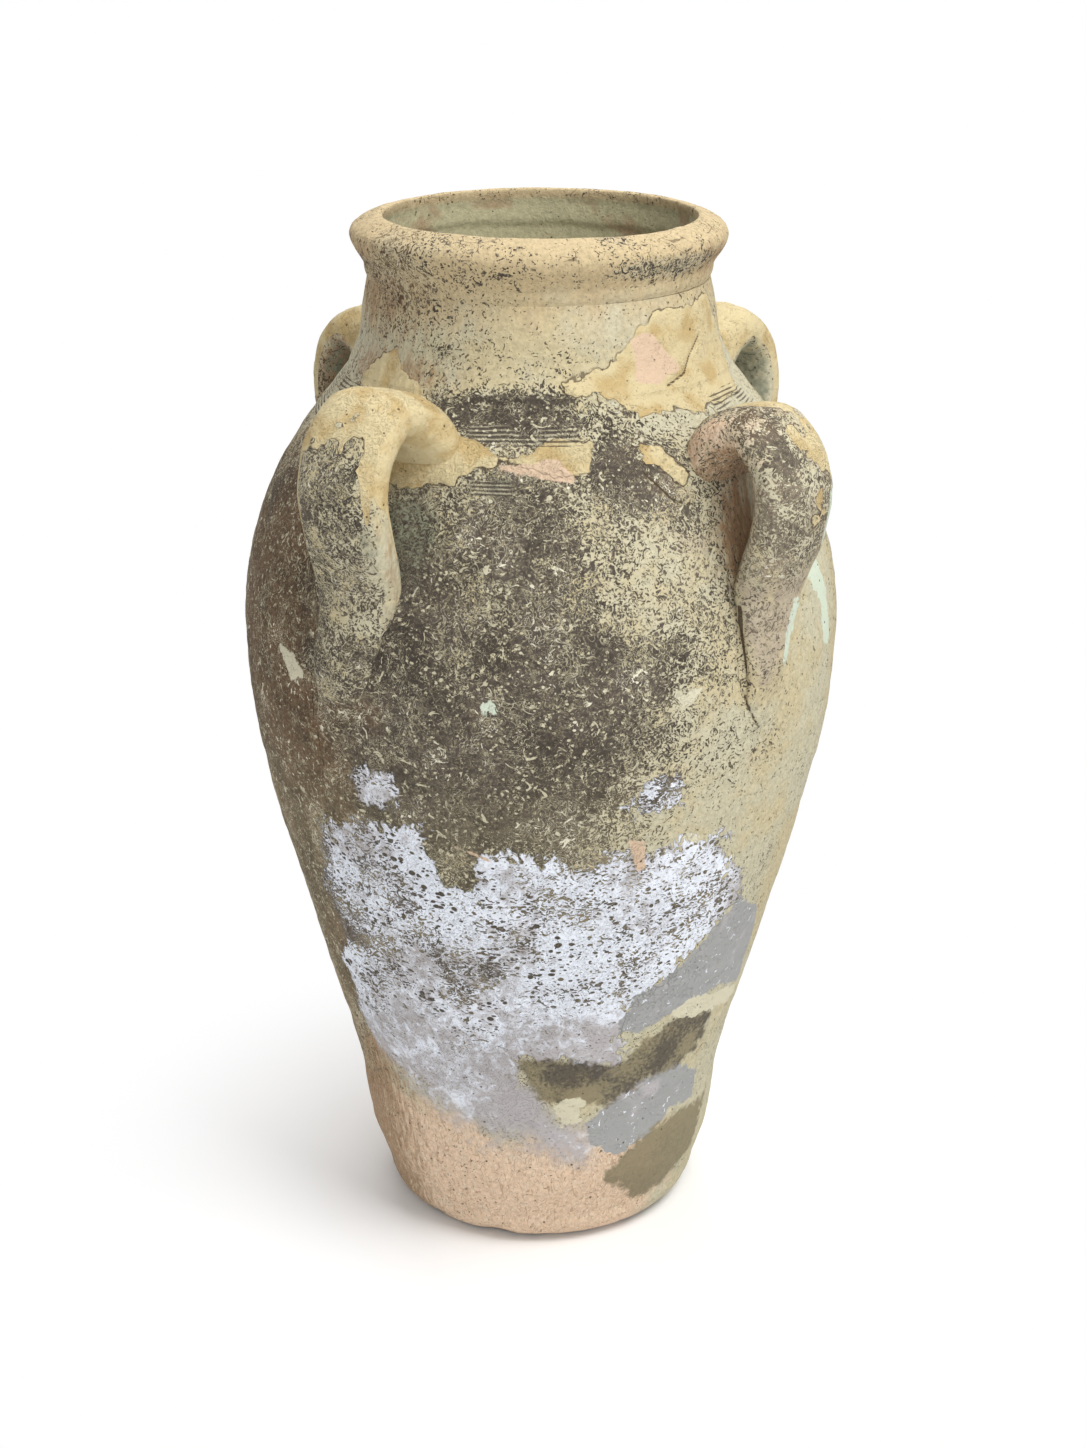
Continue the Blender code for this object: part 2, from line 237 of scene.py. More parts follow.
# Combed bands: middle and half height in metres, first and last azimuth, and the pitch of the comb's teeth
COMB_BANDS = (
    (0.498, 0.0050, -25, 17), (0.4745, 0.0040, -26, -2), (0.498, 0.013, -95, -54), (0.498, 0.011, 50, 84),
)
COMB_PITCH = 0.0019

# Heights in metres between which something on the wall fades in or out
RISES = {
    "salmon": (0.055, 0.125),
    "tan": (0.12, 0.28),
    "holes": (0.12, 0.23),
    "left holes": (0.16, 0.22),
    "bruises": (0.020, 0.034),
    "smears": (0.42, 0.47),
}

# How the clay reflects, and the sharpest fold that is still shaded smooth
CLAY_FINISH = {"Roughness": 0.92, "Metallic": 0.0, "Specular IOR Level": 0.25}
SHARP_FOLD = math.radians(55)

# Deposits that lie in outlines, and how far their edges stray
DEPOSITS = {
    "lime": (LIME_PATCHES, 2.2),
    "cement": (CEMENT_PATCHES, 0.7),
    "olive": (OLIVE_PATCHES, 0.8),
    "slip": (SLIP_PATCHES, 0.9),
    "pink": (PINK_PATCHES, 0.5),
    "mint": (MINT_PATCHES, 0.9),
    "chip": (CREAM_CHIPS, 1.1),
}

# Besides the millimetres inside each deposit, a mesh carries these shares, and broad noise at three sizes:
# the middle size in millimetres and the noise's place
SHARE_ZONES = (
    "crust", "umber", "salmon", "tan", "rose", "green_shade_and_flake", "holes", "crack", "comb", "ledge_shade_and_dark_foot", "inside",
)
NOISE_ZONES = {"broad": (46, 2.7), "lumps": (19, 6.1), "knobs": (12, 8.9)}


def linear(code):
    """Linear red, green and blue of an sRGB hex colour."""
    parts = (int(code[i : i + 2], 16) / 255 for i in (1, 3, 5))
    return tuple(c / 12.92 if c <= 0.04045 else ((c + 0.055) / 1.055) ** 2.4 for c in parts)


def length(label, words, default):
    """Length property of a piece, in metres."""
    return FloatProperty(name=label, description=words, default=default, min=0.0, unit="LENGTH")


def tint(label, words, code):
    """Colour property of a finish, given as sRGB hex."""
    return FloatVectorProperty(name=label, description=words, default=linear(code), subtype="COLOR", size=3)


class JarSizes(bpy.types.PropertyGroup):
    """Driving sizes of the turned body. Those that the frame shows are read from it."""

    foot_edge: length("Foot edge", "Height of the foot's rounded edge", 0.020)
    belly_height: length("Belly height", "Height of the widest ring", 0.366)
    neck_base: length("Neck base", "Height where the neck meets the shoulder", 0.514)
    neck_top: length("Neck top", "Height where the rim band sits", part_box("rim_band")[0].z - 0.0003)
    rim_top: length("Rim top", "Height of the lip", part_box("rim_band")[1].z - 0.0012)
    foot_flat: length("Foot flat", "Radius of the face that the jar stands on", 0.074)
    foot_radius: length("Foot radius", "Radius above the foot's edge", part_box("base_disc")[1].x)
    belly_radius: length("Belly radius", "Largest radius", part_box("shoulder_wall")[1].x)
    neck_base_radius: length("Neck base radius", "Radius at the foot of the neck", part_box("neck")[1].x)
    neck_radius: length("Neck radius", "Radius under the rim band", 0.0935)
    rim_radius: length("Rim radius", "Largest radius of the rim band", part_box("rim_band")[1].x)
    mouth_radius: length("Mouth radius", "Radius of the opening at the lip", 0.0850)
    wall: length("Wall", "Thickness of the clay", 0.013)
    neck_wall: length("Neck wall", "Thickness of the clay in the neck", 0.010)


class StrapSizes(bpy.types.PropertyGroup):
    """Driving sizes of the pulled strap handles."""

    proud: length("Proud", "Reach beyond the belly", 0.0278)
    crest_drop: length("Crest drop", "Crest below the neck's base", 0.011)
    tail_drop: length("Tail drop", "Tail below the widest ring", 0.024)
    width: length("Width", "Width of the strap", 0.050)
    thickness: length("Thickness", "Thickness of the strap", 0.025)
    root_width: length("Root width", "Width where the strap leaves the wall", 0.070)
    root_thickness: length("Root thickness", "Thickness where the strap leaves the wall", 0.036)
    tail_width: length("Tail width", "Width where the strap runs out", 0.026)
    tail_thickness: length("Tail thickness", "Thickness where the strap runs out", 0.010)
    fillet: length("Fillet", "Reach of the clay smeared between strap and wall", 0.020)


class ClayColours(bpy.types.PropertyGroup):
    """Colours of the fired clay and of what lies on it."""

    buff: tint("Buff clay", "Greenish buff body of the upper jar", "#B8B299")
    straw: tint("Straw clay", "Yellower parts of the body", "#B9AD8B")
    # Also painted shade on the collar just under the rim band
    rim: tint("Rim clay", "Warmer clay of the rim band", "#B9A682")
    salmon: tint("Salmon clay", "Bare, harder fired clay at the foot", "#D0B69C")
    # Also the stains, and brown painted shade inside the straps' loops and under the right front strap
    tan: tint("Tan clay", "Brown side of the foot", "#9A7D60")
    rose: tint("Rose clay", "Pinkish grey clay of the right handle", "#A79A86")
    slip: tint("Slip", "Smeared yellow cream slip", "#C5B68F")
    # Also painted shade in the hollows of the smeared slip
    slip_shade: tint("Thin slip", "Slip where it is thin or in a fold", "#B59E70")
    # Also laid as painted shade under the neck's ledge, and to darken the foot's lower edge
    crust: tint("Crust", "Dark mineral crust", "#4C453D")
    umber: tint("Umber crust", "Browner crust on the left", "#5A4735")
    fleck: tint("Flecks", "Pale flecks where the crust has gone", "#BDB69C")
    chip: tint("Chips", "Palest chips in the crust", "#DAD5BF")
    lime: tint("Lime", "White lime deposit", "#DDE1E9")
    # Also the painted shade on the lower part of the lime
    lime_shade: tint("Thin lime", "Thin, lilac lime", "#ADA8A8")
    cement: tint("Cement", "Grey cement patches", "#989896")
    olive: tint("Olive", "Olive brown stain", "#82785E")
    pink: tint("Pink", "Pink clay where slip has flaked", "#C9B096")
    mint: tint("Mint", "Pale green white flakes", "#C2CBB8")
    # Grey green painted shade under and inside the handles, and also a small flake on the wall
    green_shade_and_flake: tint("Moss", "Grey green shade under the handles", "#797E6C")
    inside: tint("Inside", "Grey green clay inside the mouth", "#AEA888")
    pit: tint("Pit", "Dirt in pits and cracks", "#4A3C2C")


def mix(start, end, share):
    """Value at a share of the way from start to end."""
    return start + (end - start) * share


def fade(value, low, high):
    """Smooth step: 0 up to low, 1 from high, an S curve between."""
    share = np.clip((value - low) / (high - low), 0, 1)
    return share * share * (3 - 2 * share)


def bell(value, middle, half):
    """1 at the middle, about a third at half a width from it, and near 0 beyond."""
    return np.exp(-(((value - middle) / half) ** 2))


def window(value, low, high, far_low, far_high):
    """Smooth step up between the first two, and down again between the last two."""
    return fade(value, low, high) * (1 - fade(value, far_low, far_high))


def polar(radius, turn, height):
    """Points at a radius and an angle round the axis, and a height."""
    return np.stack(np.broadcast_arrays(radius * np.cos(turn), radius * np.sin(turn), height), -1)


def radius_of(points):
    """Distance of points from the axis."""
    return np.hypot(points[..., 0], points[..., 1])


def running(lengths):
    """Length run up to each point of a line, from the lengths of its stretches."""
    return np.concatenate([[0], np.cumsum(lengths)])


def turn_from(azimuth, middle):
    """Degrees from a middle azimuth to another, from -180 to 180."""
    return (azimuth - middle + 180) % 360 - 180


def smooth_curve(knots, values, at):
    """Cubic curve through the points, whose tangents are chosen so that it never overshoots them."""
    knots = np.asarray(knots, float)
    values = np.asarray(values, float)
    spans = np.diff(knots)
    slopes = np.diff(values) / spans
    before, after = slopes[:-1], slopes[1:]
    same_way = before * after > 0
    total = np.where(same_way, before + after, 1)
    tangents = np.concatenate([slopes[:1], np.where(same_way, 2 * before * after / total, 0), slopes[-1:]])
    at = np.clip(at, knots[0], knots[-1])
    left = np.clip(np.searchsorted(knots, at, side="right") - 1, 0, len(spans) - 1)
    u = (at - knots[left]) / spans[left]
    rise = values[left + 1] - values[left]
    bend_in = (u**3 - 2 * u**2 + u) * spans[left] * tangents[left]
    bend_out = (u**3 - u**2) * spans[left] * tangents[left + 1]
    return values[left] + rise * (3 * u**2 - 2 * u**3) + bend_in + bend_out


LATTICE_SIDE = 48
LATTICE = np.random.default_rng(11).uniform(-1, 1, (LATTICE_SIDE,) * 3)


def cloud(points, grain, shift=0.0):
    """Smooth noise in -1 to 1: random values a grain apart on a cubic lattice, blended by a quintic."""
    spot = np.asarray(points) / grain + shift
    cell = np.floor(spot).astype(int)
    share = spot - cell
    share = share**3 * (share * (share * 6 - 15) + 10)
    total = np.zeros(spot.shape[:-1])
    for corner in np.ndindex(2, 2, 2):
        index = (cell + corner) % LATTICE_SIDE
        weight = np.prod(np.where(np.array(corner) == 1, share, 1 - share), axis=-1)
        total += weight * LATTICE[index[..., 0], index[..., 1], index[..., 2]]
    return total


def clouds(points, grain, octaves, shift=0.0):
    """Sum of clouds, each with half the grain and half the strength of the one before."""
    return sum(cloud(points, grain / 2**i, shift + 5.3 * i) / 2**i for i in range(octaves))


def wall_stations(sizes):
    """Heights and outer radii that the wall's outline passes through, from foot edge to neck top."""
    stretches = (
        (sizes.foot_edge, sizes.foot_radius, sizes.belly_height, sizes.belly_radius, LOWER_WALL_SHARES),
        (sizes.belly_height, sizes.belly_radius, sizes.neck_base, sizes.neck_base_radius, SHOULDER_SHARES),
        (sizes.neck_base, sizes.neck_base_radius, sizes.neck_top, sizes.neck_radius, NECK_SHARES),
    )
    stations = []
    for low, first, high, last, shares in stretches:
        stations.append((low, first))
        stations += [(mix(low, high, up), mix(first, last, way)) for up, way in shares]
    stations.append((sizes.neck_top, sizes.neck_radius))
    return np.array(stations).T


def outer_radius(sizes, height):
    """Outer radius of the wall at a height."""
    heights, radii = wall_stations(sizes)
    return smooth_curve(heights, radii, height)


def wall_normal(sizes, height):
    """Outward normal of the wall's outline, as its radial and upward parts."""
    reach = 2 * MM
    slope = (outer_radius(sizes, height + reach) - outer_radius(sizes, height - reach)) / (2 * reach)
    size = np.hypot(1, slope)
    return 1 / size, -slope / size


def azimuth_of(points):
    """Degrees to the right of the front, from -180 to 180."""
    return turn_from(np.degrees(np.arctan2(points[..., 1], points[..., 0]) - FRONT), 0)


def flat_spot(azimuth, height, middle, radius):
    """Place on the wall rolled flat round a middle azimuth: metres along the ring, metres up."""
    return np.radians(turn_from(azimuth, middle)) * radius, height


def stretch_distance(x, y, ax, ay, bx, by):
    """Distance to the straight stretch from a to b."""
    along = ((x - ax) * (bx - ax) + (y - ay) * (by - ay)) / ((bx - ax) ** 2 + (by - ay) ** 2)
    along = np.clip(along, 0, 1)
    return np.hypot(x - mix(ax, bx, along), y - mix(ay, by, along))


def patch_depth(sizes, azimuth, height, outline):
    """Metres inside a closed outline of (azimuth, millimetres): negative outside, by the nearest edge."""
    corners = np.array(outline, float)
    middle = corners[:, 0].mean()
    radius = float(outer_radius(sizes, corners[:, 1].mean() * MM))
    x, y = flat_spot(azimuth, height, middle, radius)
    px, py = flat_spot(corners[:, 0], corners[:, 1] * MM, middle, radius)
    nearest = np.full(x.shape, np.inf)
    inside = np.zeros(x.shape, bool)
    for ax, ay, bx, by in zip(px, py, np.roll(px, -1), np.roll(py, -1)):
        nearest = np.minimum(nearest, stretch_distance(x, y, ax, ay, bx, by))
        if ay != by:
            inside ^= ((ay > y) != (by > y)) & (x < mix(ax, bx, (y - ay) / (by - ay)))
    return np.where(inside, nearest, -nearest)


def line_distance(sizes, azimuth, height, lines):
    """Metres to the nearest of several open lines of (azimuth, millimetres)."""
    nearest = np.full(azimuth.shape, np.inf)
    for line in lines:
        middle = line[0][0]
        radius = float(outer_radius(sizes, line[0][1] * MM))
        x, y = flat_spot(azimuth, height, middle, radius)
        for (a_turn, a_up), (b_turn, b_up) in zip(line[:-1], line[1:]):
            ax, ay = flat_spot(a_turn, a_up * MM, middle, radius)
            bx, by = flat_spot(b_turn, b_up * MM, middle, radius)
            nearest = np.minimum(nearest, stretch_distance(x, y, ax, ay, bx, by))
    return nearest


def crust_cover(azimuth, height, points):
    """Share of the wall under dark crust: an even scatter, plus blooms with a flat middle, plus noise."""
    cover = np.full(azimuth.shape, CRUST_SCATTER)
    for turn, up, half_turn, half_up, added in CRUST_BLOOMS:
        across = turn_from(azimuth, turn) / half_turn
        cover += added * np.exp(-((across**2 + ((height / MM - up) / half_up) ** 2) ** 2))
    return np.clip(cover + 0.17 * clouds(points, 30 * MM, 3), 0, 1)


def comb_mask(azimuth, height):
    """1 where a comb was dragged round the shoulder, 0 elsewhere, with soft ends."""
    mask = np.zeros(azimuth.shape)
    for middle, half, start, end in COMB_BANDS:
        ends = window(azimuth, start, start + 6, end - 6, end)
        mask = np.maximum(mask, ends * (1 - fade(np.abs(height - middle), half * 0.8, half * 1.1)))
    return mask


def wall_zones(sizes, points, inside):
    """What lies where on a turned piece: one value per point for each deposit that the clay shows, and for
    painted shade.
    """
    azimuth, height = azimuth_of(points), points[..., 2]
    ragged = 3 * clouds(points, 14 * MM, 3) + 1.2 * cloud(points, 4 * MM)
    zones = {}
    for name, (outlines, strays) in DEPOSITS.items():
        depths = [patch_depth(sizes, azimuth, height, outline) for outline in outlines]
        zones[name] = np.max(depths, axis=0) / MM + ragged * strays
    zones["crust"] = crust_cover(azimuth, height, points)
    left = window(-azimuth, 18, 62, 150, 178)
    zones["umber"] = np.clip(left + 0.25 * clouds(points, 40 * MM, 2), 0, 1)
    salmon = 1 - fade(height + 12 * MM * clouds(points, 30 * MM, 2), *RISES["salmon"])
    zones["salmon"] = salmon * (1 - 0.75 * fade(azimuth, 18, 60) * (1 - fade(azimuth, 90, 120)))
    zones["tan"] = window(-azimuth, 24, 66, 92, 168) * (1 - fade(height, *RISES["tan"]))
    # Stains, and painted shade inside the straps' loops, join the tan share
    for turn, up, half_turn, half_up, added in STAINS_AND_LOOP_SHADE:
        stain = added * bell(turn_from(azimuth, turn), 0, half_turn) * bell(height / MM, up, half_up)
        zones["tan"] = np.maximum(zones["tan"], stain)
    # Grey green painted shade in the hollow under the left front strap's arch, and a small flake below the
    # front slip
    under_strap = bell(azimuth, -28, 8) * bell(height, 0.446, 0.026)
    flake = bell(azimuth, -8.5, 4) * bell(height, 0.475, 0.006)
    zones["green_shade_and_flake"] = np.clip(under_strap * 1.25 + flake, 0, 1)
    zones["crack"] = line_distance(sizes, azimuth, height, CRACKS) / MM
    zones["comb"] = comb_mask(azimuth, height)
    zones["rose"] = 0.6 * bell(azimuth, 31, 6) * bell(height, 0.448, 0.022)
    holes = 0.49 - 0.46 * (1 - fade(height, *RISES["holes"]))
    holes += 0.5 * bell(azimuth, -58, 14) * fade(height, *RISES["left holes"])
    zones["holes"] = holes + 0.16 * clouds(points, 45 * MM, 2)
    # Painted shade under the ledge at the neck's base on the front, and a darker foot edge in the lowest
    # millimetres
    ledge = bell(height + 1.5 * MM * cloud(points, 20 * MM), sizes.neck_base - 0.5 * MM, 2.2 * MM)
    ledge = ledge * (fade(azimuth, -34, -20) - fade(azimuth, 8, 20))
    ledge = ledge * (0.75 + 0.5 * cloud(points, 12 * MM, 1.7))
    foot = 0.75 * (1 - fade(height + 2 * MM * cloud(points, 10 * MM, 4.1), 1 * MM, 6 * MM))
    zones["ledge_shade_and_dark_foot"] = np.clip(np.maximum(ledge, foot), 0, 1)
    zones["inside"] = np.broadcast_to(inside, azimuth.shape)
    return zones | noise_zones(points)


def noise_zones(points):
    """Noise that is broad enough for the mesh to carry, so that the material needs fewer nodes."""
    return {name: 1.6 * clouds(points, size * MM, 3, place) for name, (size, place) in NOISE_ZONES.items()}


def strap_level(sizes, straps, points, name):
    """Rough distance in metres from points to a strap's surface, by the nearest of its sections."""
    radii, heights, widths, thicknesses, facing = strap_path(sizes, straps, name)
    radius = radius_of(points)
    turn = np.arctan2(points[..., 1], points[..., 0])
    best = np.full(radius.shape, np.inf)
    for i in range(0, STRAP_ROWS, STRAP_STRIDE):
        after, before = min(i + STRAP_STRIDE, STRAP_ROWS - 1), max(i - STRAP_STRIDE, 0)
        slope = np.array([radii[after] - radii[before], heights[after] - heights[before]])
        slope /= np.linalg.norm(slope)
        away = (turn - facing[i] + math.pi) % (2 * math.pi) - math.pi
        side = radius * np.sin(away)
        out, up = radius * np.cos(away) - radii[i], points[..., 2] - heights[i]
        along = out * slope[0] + up * slope[1]
        through = -out * slope[1] + up * slope[0]
        ring = (np.abs(side) / (widths[i] / 2)) ** 2 + (np.abs(through) / (thicknesses[i] / 2)) ** 2
        level = (np.sqrt(ring) - 1) * min(widths[i], thicknesses[i]) / 2
        best = np.minimum(best, np.hypot(np.maximum(level, 0), along) + np.minimum(level, 0))
    return best


def strap_path(sizes, straps, name):
    """Radii, heights, widths, thicknesses and directions along one strap's centre line, root first."""
    (angle, drift), (reach_share, drop_share, flare_share, tail_share) = HANDLES[name]
    shares = np.array(STRAP_SHARES)
    tail = sizes.belly_height - straps.tail_drop
    crest = sizes.neck_base - straps.crest_drop * drop_share
    heights = mix(tail, crest, shares[:, 0])
    reach = sizes.belly_radius + straps.proud * reach_share - straps.thickness / 2
    radii = mix(outer_radius(sizes, heights), reach, shares[:, 1])
    root_width = mix(straps.width, straps.root_width, flare_share)
    widths = toward_ends(straps.width, root_width, straps.tail_width * tail_share, shares[:, 2])
    thicknesses = toward_ends(straps.thickness, straps.root_thickness, straps.tail_thickness, shares[:, 2])
    run = running(np.hypot(np.diff(radii), np.diff(heights)))
    along = np.linspace(0, run[-1], STRAP_ROWS)
    drifts = toward_ends(0.0, 0.0, 1.0, shares[:, 2])
    radii, heights, widths, thicknesses, drifts = (
        smooth_curve(run, values, along) for values in (radii, heights, widths, thicknesses, drifts)
    )
    return radii, heights, widths, thicknesses, np.radians(angle + drift * drifts)


def toward_ends(middle, root, tail, way):
    """Value along a strap, from its way towards the root (positive) or the tail (negative)."""
    return middle + (root - middle) * np.maximum(way, 0) + (tail - middle) * np.maximum(-way, 0)


def wall_relief(sizes, straps, points, zones):
    """Metres that the wall's outer face stands out, with the clay smeared round the straps."""
    azimuth, height = azimuth_of(points), points[..., 2]
    rings = cloud(height[..., None] * (0, 0, 1), 9 * MM) * (0.6 + 0.4 * cloud(points, 60 * MM))
    relief = 0.35 * MM * rings + 1.0 * MM * clouds(points, 80 * MM, 2)
    relief += 0.22 * MM * clouds(points, 12 * MM, 2)
    relief += 0.5 * MM * (zones["crust"] - 0.5) * cloud(points, 5 * MM)
    relief += 0.35 * MM * fade(zones["lime"], -2, 3) * (0.7 + 0.6 * cloud(points, 6 * MM))
    relief += 0.45 * MM * fade(zones["slip"], -1, 2) + 0.25 * MM * fade(zones["cement"], -1, 2)
    relief -= 0.8 * MM * (1 - fade(zones["crack"], 0.2, 2.2))
    lip = window(height, sizes.neck_base - 1.6 * MM, sizes.neck_base, sizes.neck_base, 0.532)
    relief += 1.2 * MM * lip * (0.5 + 0.5 * zones["ledge_shade_and_dark_foot"])
    strokes = cloud(np.stack([np.radians(azimuth) / 32, height / 30, height * 0 + 0.3], -1), 1 * MM)
    relief += 0.35 * MM * strokes * zones["tan"]
    bruise = fade(-cloud(points, 16 * MM, 7.7), 0.35, 0.8) * (1 - fade(height, *RISES["bruises"]))
    relief -= 1.6 * MM * bruise
    tail = sizes.belly_height - straps.tail_drop
    up = height[:, 0]
    rows = np.flatnonzero((up > tail - straps.fillet) & (up < sizes.neck_base + straps.fillet))
    if len(rows):
        span = slice(rows[0], rows[-1] + 1)
        reach = fillet_reach(straps, height[span])
        for name in HANDLES:
            gap = np.maximum(reach - strap_level(sizes, straps, points[span], name), 0)
            relief[span] += np.minimum(gap, 2 * reach) ** 2 / (4 * reach)
    return relief


def fillet_reach(straps, height):
    """Reach of the clay smeared round a strap: full at its root, a fifth at its tail."""
    return straps.fillet * mix(0.2, 1, fade(height, *RISES["smears"]))


def foot_chips(points):
    """Metres knocked off the foot's edge: small chips all round and one notch near the front."""
    height = points[..., 2]
    notch = 2.6 * MM * bell(azimuth_of(points), -19, 5) * (1 - fade(height, 5 * MM, 12 * MM))
    chips = fade(cloud(points, 8 * MM, 9.3), 0.25, 0.7) * window(height, 0, 2 * MM, 6 * MM, 10 * MM)
    return notch + 1.4 * MM * chips


def inner_relief(points):
    """Metres that the inner face stands in from its plain shape: wavy throwing ledges and dents."""
    height = points[..., 2] + 1.6 * MM * cloud(points, 30 * MM, 3.1)
    rings = cloud(height[..., None] * (0, 0, 1) + (0, 0.5, 0), 8 * MM)
    ledges = fade(height, 0.5560, 0.5580) - fade(height, 0.5700, 0.5760) + 0.7 * fade(height, 0.535, 0.539)
    return 0.5 * MM * rings + 0.8 * MM * clouds(points, 50 * MM, 2) + 1.5 * MM * ledges


def wall_outline(sizes, name, low, high):
    """Rows of a wall section: down its outer side, across its lower edge, up inside, across its upper edge.

    Returns radius, height, normal (radial, up) and depth share, from 0 on the outer face to 1 on the inner.
    """
    outer = np.linspace(high, low, ROWS[name])
    inner = np.linspace(low, high, INNER_ROWS[name])
    edge = np.array([0.25, 0.5, 0.75])
    heights = np.concatenate([outer, np.full(3, low), inner, np.full(3, high)])
    shares = np.concatenate([outer * 0, edge, inner * 0 + 1, edge[::-1]])
    thickness = np.interp(heights, (sizes.belly_height, sizes.neck_base), (sizes.wall, sizes.neck_wall))
    out, up = wall_normal(sizes, heights)
    radii = outer_radius(sizes, heights) - shares * thickness * out
    return radii, heights - shares * thickness * up, out, up, shares


def turned_piece(context, name, outline, poles=False):
    """Carry an outline round the axis and move every point along its normal by the clay's relief."""
    sizes, straps = context.scene.jar_sizes, context.scene.strap_sizes
    radii, heights, out, up, shares = (np.asarray(row, float)[:, None] for row in outline)
    turns = np.linspace(0, 2 * math.pi, TURN_COLUMNS, endpoint=False)[None, :]
    points = polar(radii, turns, heights)
    zones = wall_zones(sizes, points, shares)
    relief = mix(wall_relief(sizes, straps, points, zones), -inner_relief(points), shares)
    if poles:
        relief = mix(relief, 0, fade(FOOT_CALM - points[..., 2], 0, FOOT_CALM)) - foot_chips(points)
    points = points + relief[..., None] * polar(out, turns, up)
    skin(name, points, zones, earthenware(context), poles)


def skin(name, grid, zones, material, poles):
    """Closed mesh over a grid of points whose columns close on themselves.

    The rows close too, or with poles each end row shrinks to one point. Quads run down the rows and round
    the columns, so that they face outwards.
    """
    rows, columns = grid.shape[:2]
    index = np.arange(rows * columns).reshape(rows, columns)
    following = np.roll(index, -1, axis=1)
    last = rows - 1 if poles else rows
    below = np.roll(index, -1, axis=0)
    below_following = np.roll(following, -1, axis=0)
    quads = np.stack([index, below, below_following, following], -1)[:last].reshape(-1, 4)
    points = grid.reshape(-1, 3)
    zones = zones | {"tall": grid[..., 2] / MM}
    values = {zone: np.broadcast_to(value, (rows, columns)).ravel() for zone, value in zones.items()}
    corners, starts = quads.ravel(), np.arange(0, quads.size, 4)
    chart = chart_of(grid, last)
    if poles:
        top = np.stack([np.full(columns, points.shape[0]), index[0], following[0]], -1)
        bottom = np.stack([np.full(columns, points.shape[0] + 1), following[-1], index[-1]], -1)
        starts = np.concatenate([starts, corners.size + np.arange(0, 6 * columns, 3)])
        corners = np.concatenate([corners, top.ravel(), bottom.ravel()])
        points = np.concatenate([points, grid[:1].mean(1), grid[-1:].mean(1)])
        values = {zone: np.concatenate([value, value[[0, -1]]]) for zone, value in values.items()}
        chart = np.concatenate([chart, cap_chart(columns)])
    mesh = bpy.data.meshes.new(name)
    mesh.vertices.add(len(points))
    mesh.vertices.foreach_set("co", points.astype(np.float32).ravel())
    mesh.loops.add(len(corners))
    mesh.loops.foreach_set("vertex_index", corners.astype(np.int32))
    mesh.polygons.add(len(starts))
    mesh.polygons.foreach_set("loop_start", starts.astype(np.int32))
    mesh.update(calc_edges=True)
    mesh.uv_layers.new(name="OFBake").data.foreach_set("uv", chart.astype(np.float32).ravel())
    for zone, value in values.items():
        mesh.attributes.new(zone, "FLOAT", "POINT").data.foreach_set("value", value.astype(np.float32))
    mesh.shade_smooth()
    mesh.set_sharp_from_angle(angle=SHARP_FOLD)
    mesh.materials.append(material)
    piece = placed(name + "_clay", mesh)
    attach(piece, "root")
    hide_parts(name)


def placed(name, data):
    """Object for a mesh, lamp or camera, linked to the scene."""
    thing = bpy.data.objects.new(name, data)
    bpy.context.scene.collection.objects.link(thing)
    return thing


# Flat map: margin round a half ring, share of the height for the rings, and the caps' middle and radius
CHART_INSET = 0.006
CHART_SPAN = 0.93
CAP_MIDDLE = 0.966
CAP_REACH = 0.03


def chart_of(grid, last):
    """Flat map for every quad's corners: the ring is cut in two halves, laid one above the other."""
    columns = grid.shape[1]
    steps = np.linalg.norm(np.diff(grid, axis=0, append=grid[:1]), axis=-1).mean(1)[:last]
    down = running(steps)
    down = down / down[-1]
    half = columns // 2
    column = np.arange(columns)
    left = (column % half) / half
    right = left + 1 / half
    base = (column // half) / 2
    u = np.stack([left, left, right, right], -1)[None] * (1 - 2 * CHART_INSET) + CHART_INSET
    v = np.stack([down[:-1], down[1:], down[1:], down[:-1]], -1)[:, None]
    v = v * (CHART_SPAN / 2 - 2 * CHART_INSET) + CHART_INSET + base[None, :, None] * CHART_SPAN
    u, v = np.broadcast_arrays(u, v)
    return np.stack([u, v], -1).reshape(-1, 2)


def cap_chart(columns):
    """Flat map for the two fans of triangles at the poles, side by side along the chart's upper edge."""
    turn = np.linspace(0, 2 * math.pi, columns, endpoint=False)
    step = 2 * math.pi / columns
    corners = []
    for middle, way in ((0.25, 1), (0.75, -1)):
        for reach, angle in ((0, turn), (CAP_REACH, turn), (CAP_REACH, turn + way * step)):
            spot = (middle + reach * np.cos(angle), CAP_MIDDLE + reach * np.sin(angle))
            corners.append(np.stack(spot, -1))
    caps = np.array(corners).reshape(2, 3, columns, 2)
    return caps.transpose(0, 2, 1, 3).reshape(-1, 2)


def add(tree, kind, sockets=None, out=0, **settings):
    """Add a node, set its settings, give its sockets values or links, and return one of its outputs."""
    made = tree.nodes.new(kind)
    for name, value in settings.items():
        setattr(made, name, value)
    for key, value in (sockets or {}).items():
        if isinstance(value, bpy.types.NodeSocket):
            tree.links.new(value, made.inputs[key])
        else:
            made.inputs[key].default_value = value
    return made.outputs[out]


def calc(tree, operation, *values):
    """Math node on values or links."""
    return add(tree, "ShaderNodeMath", dict(enumerate(values)), operation=operation)


def node_tree(owner):
    """Nodes of a new material or world."""
    owner.use_nodes = True
    return owner.node_tree


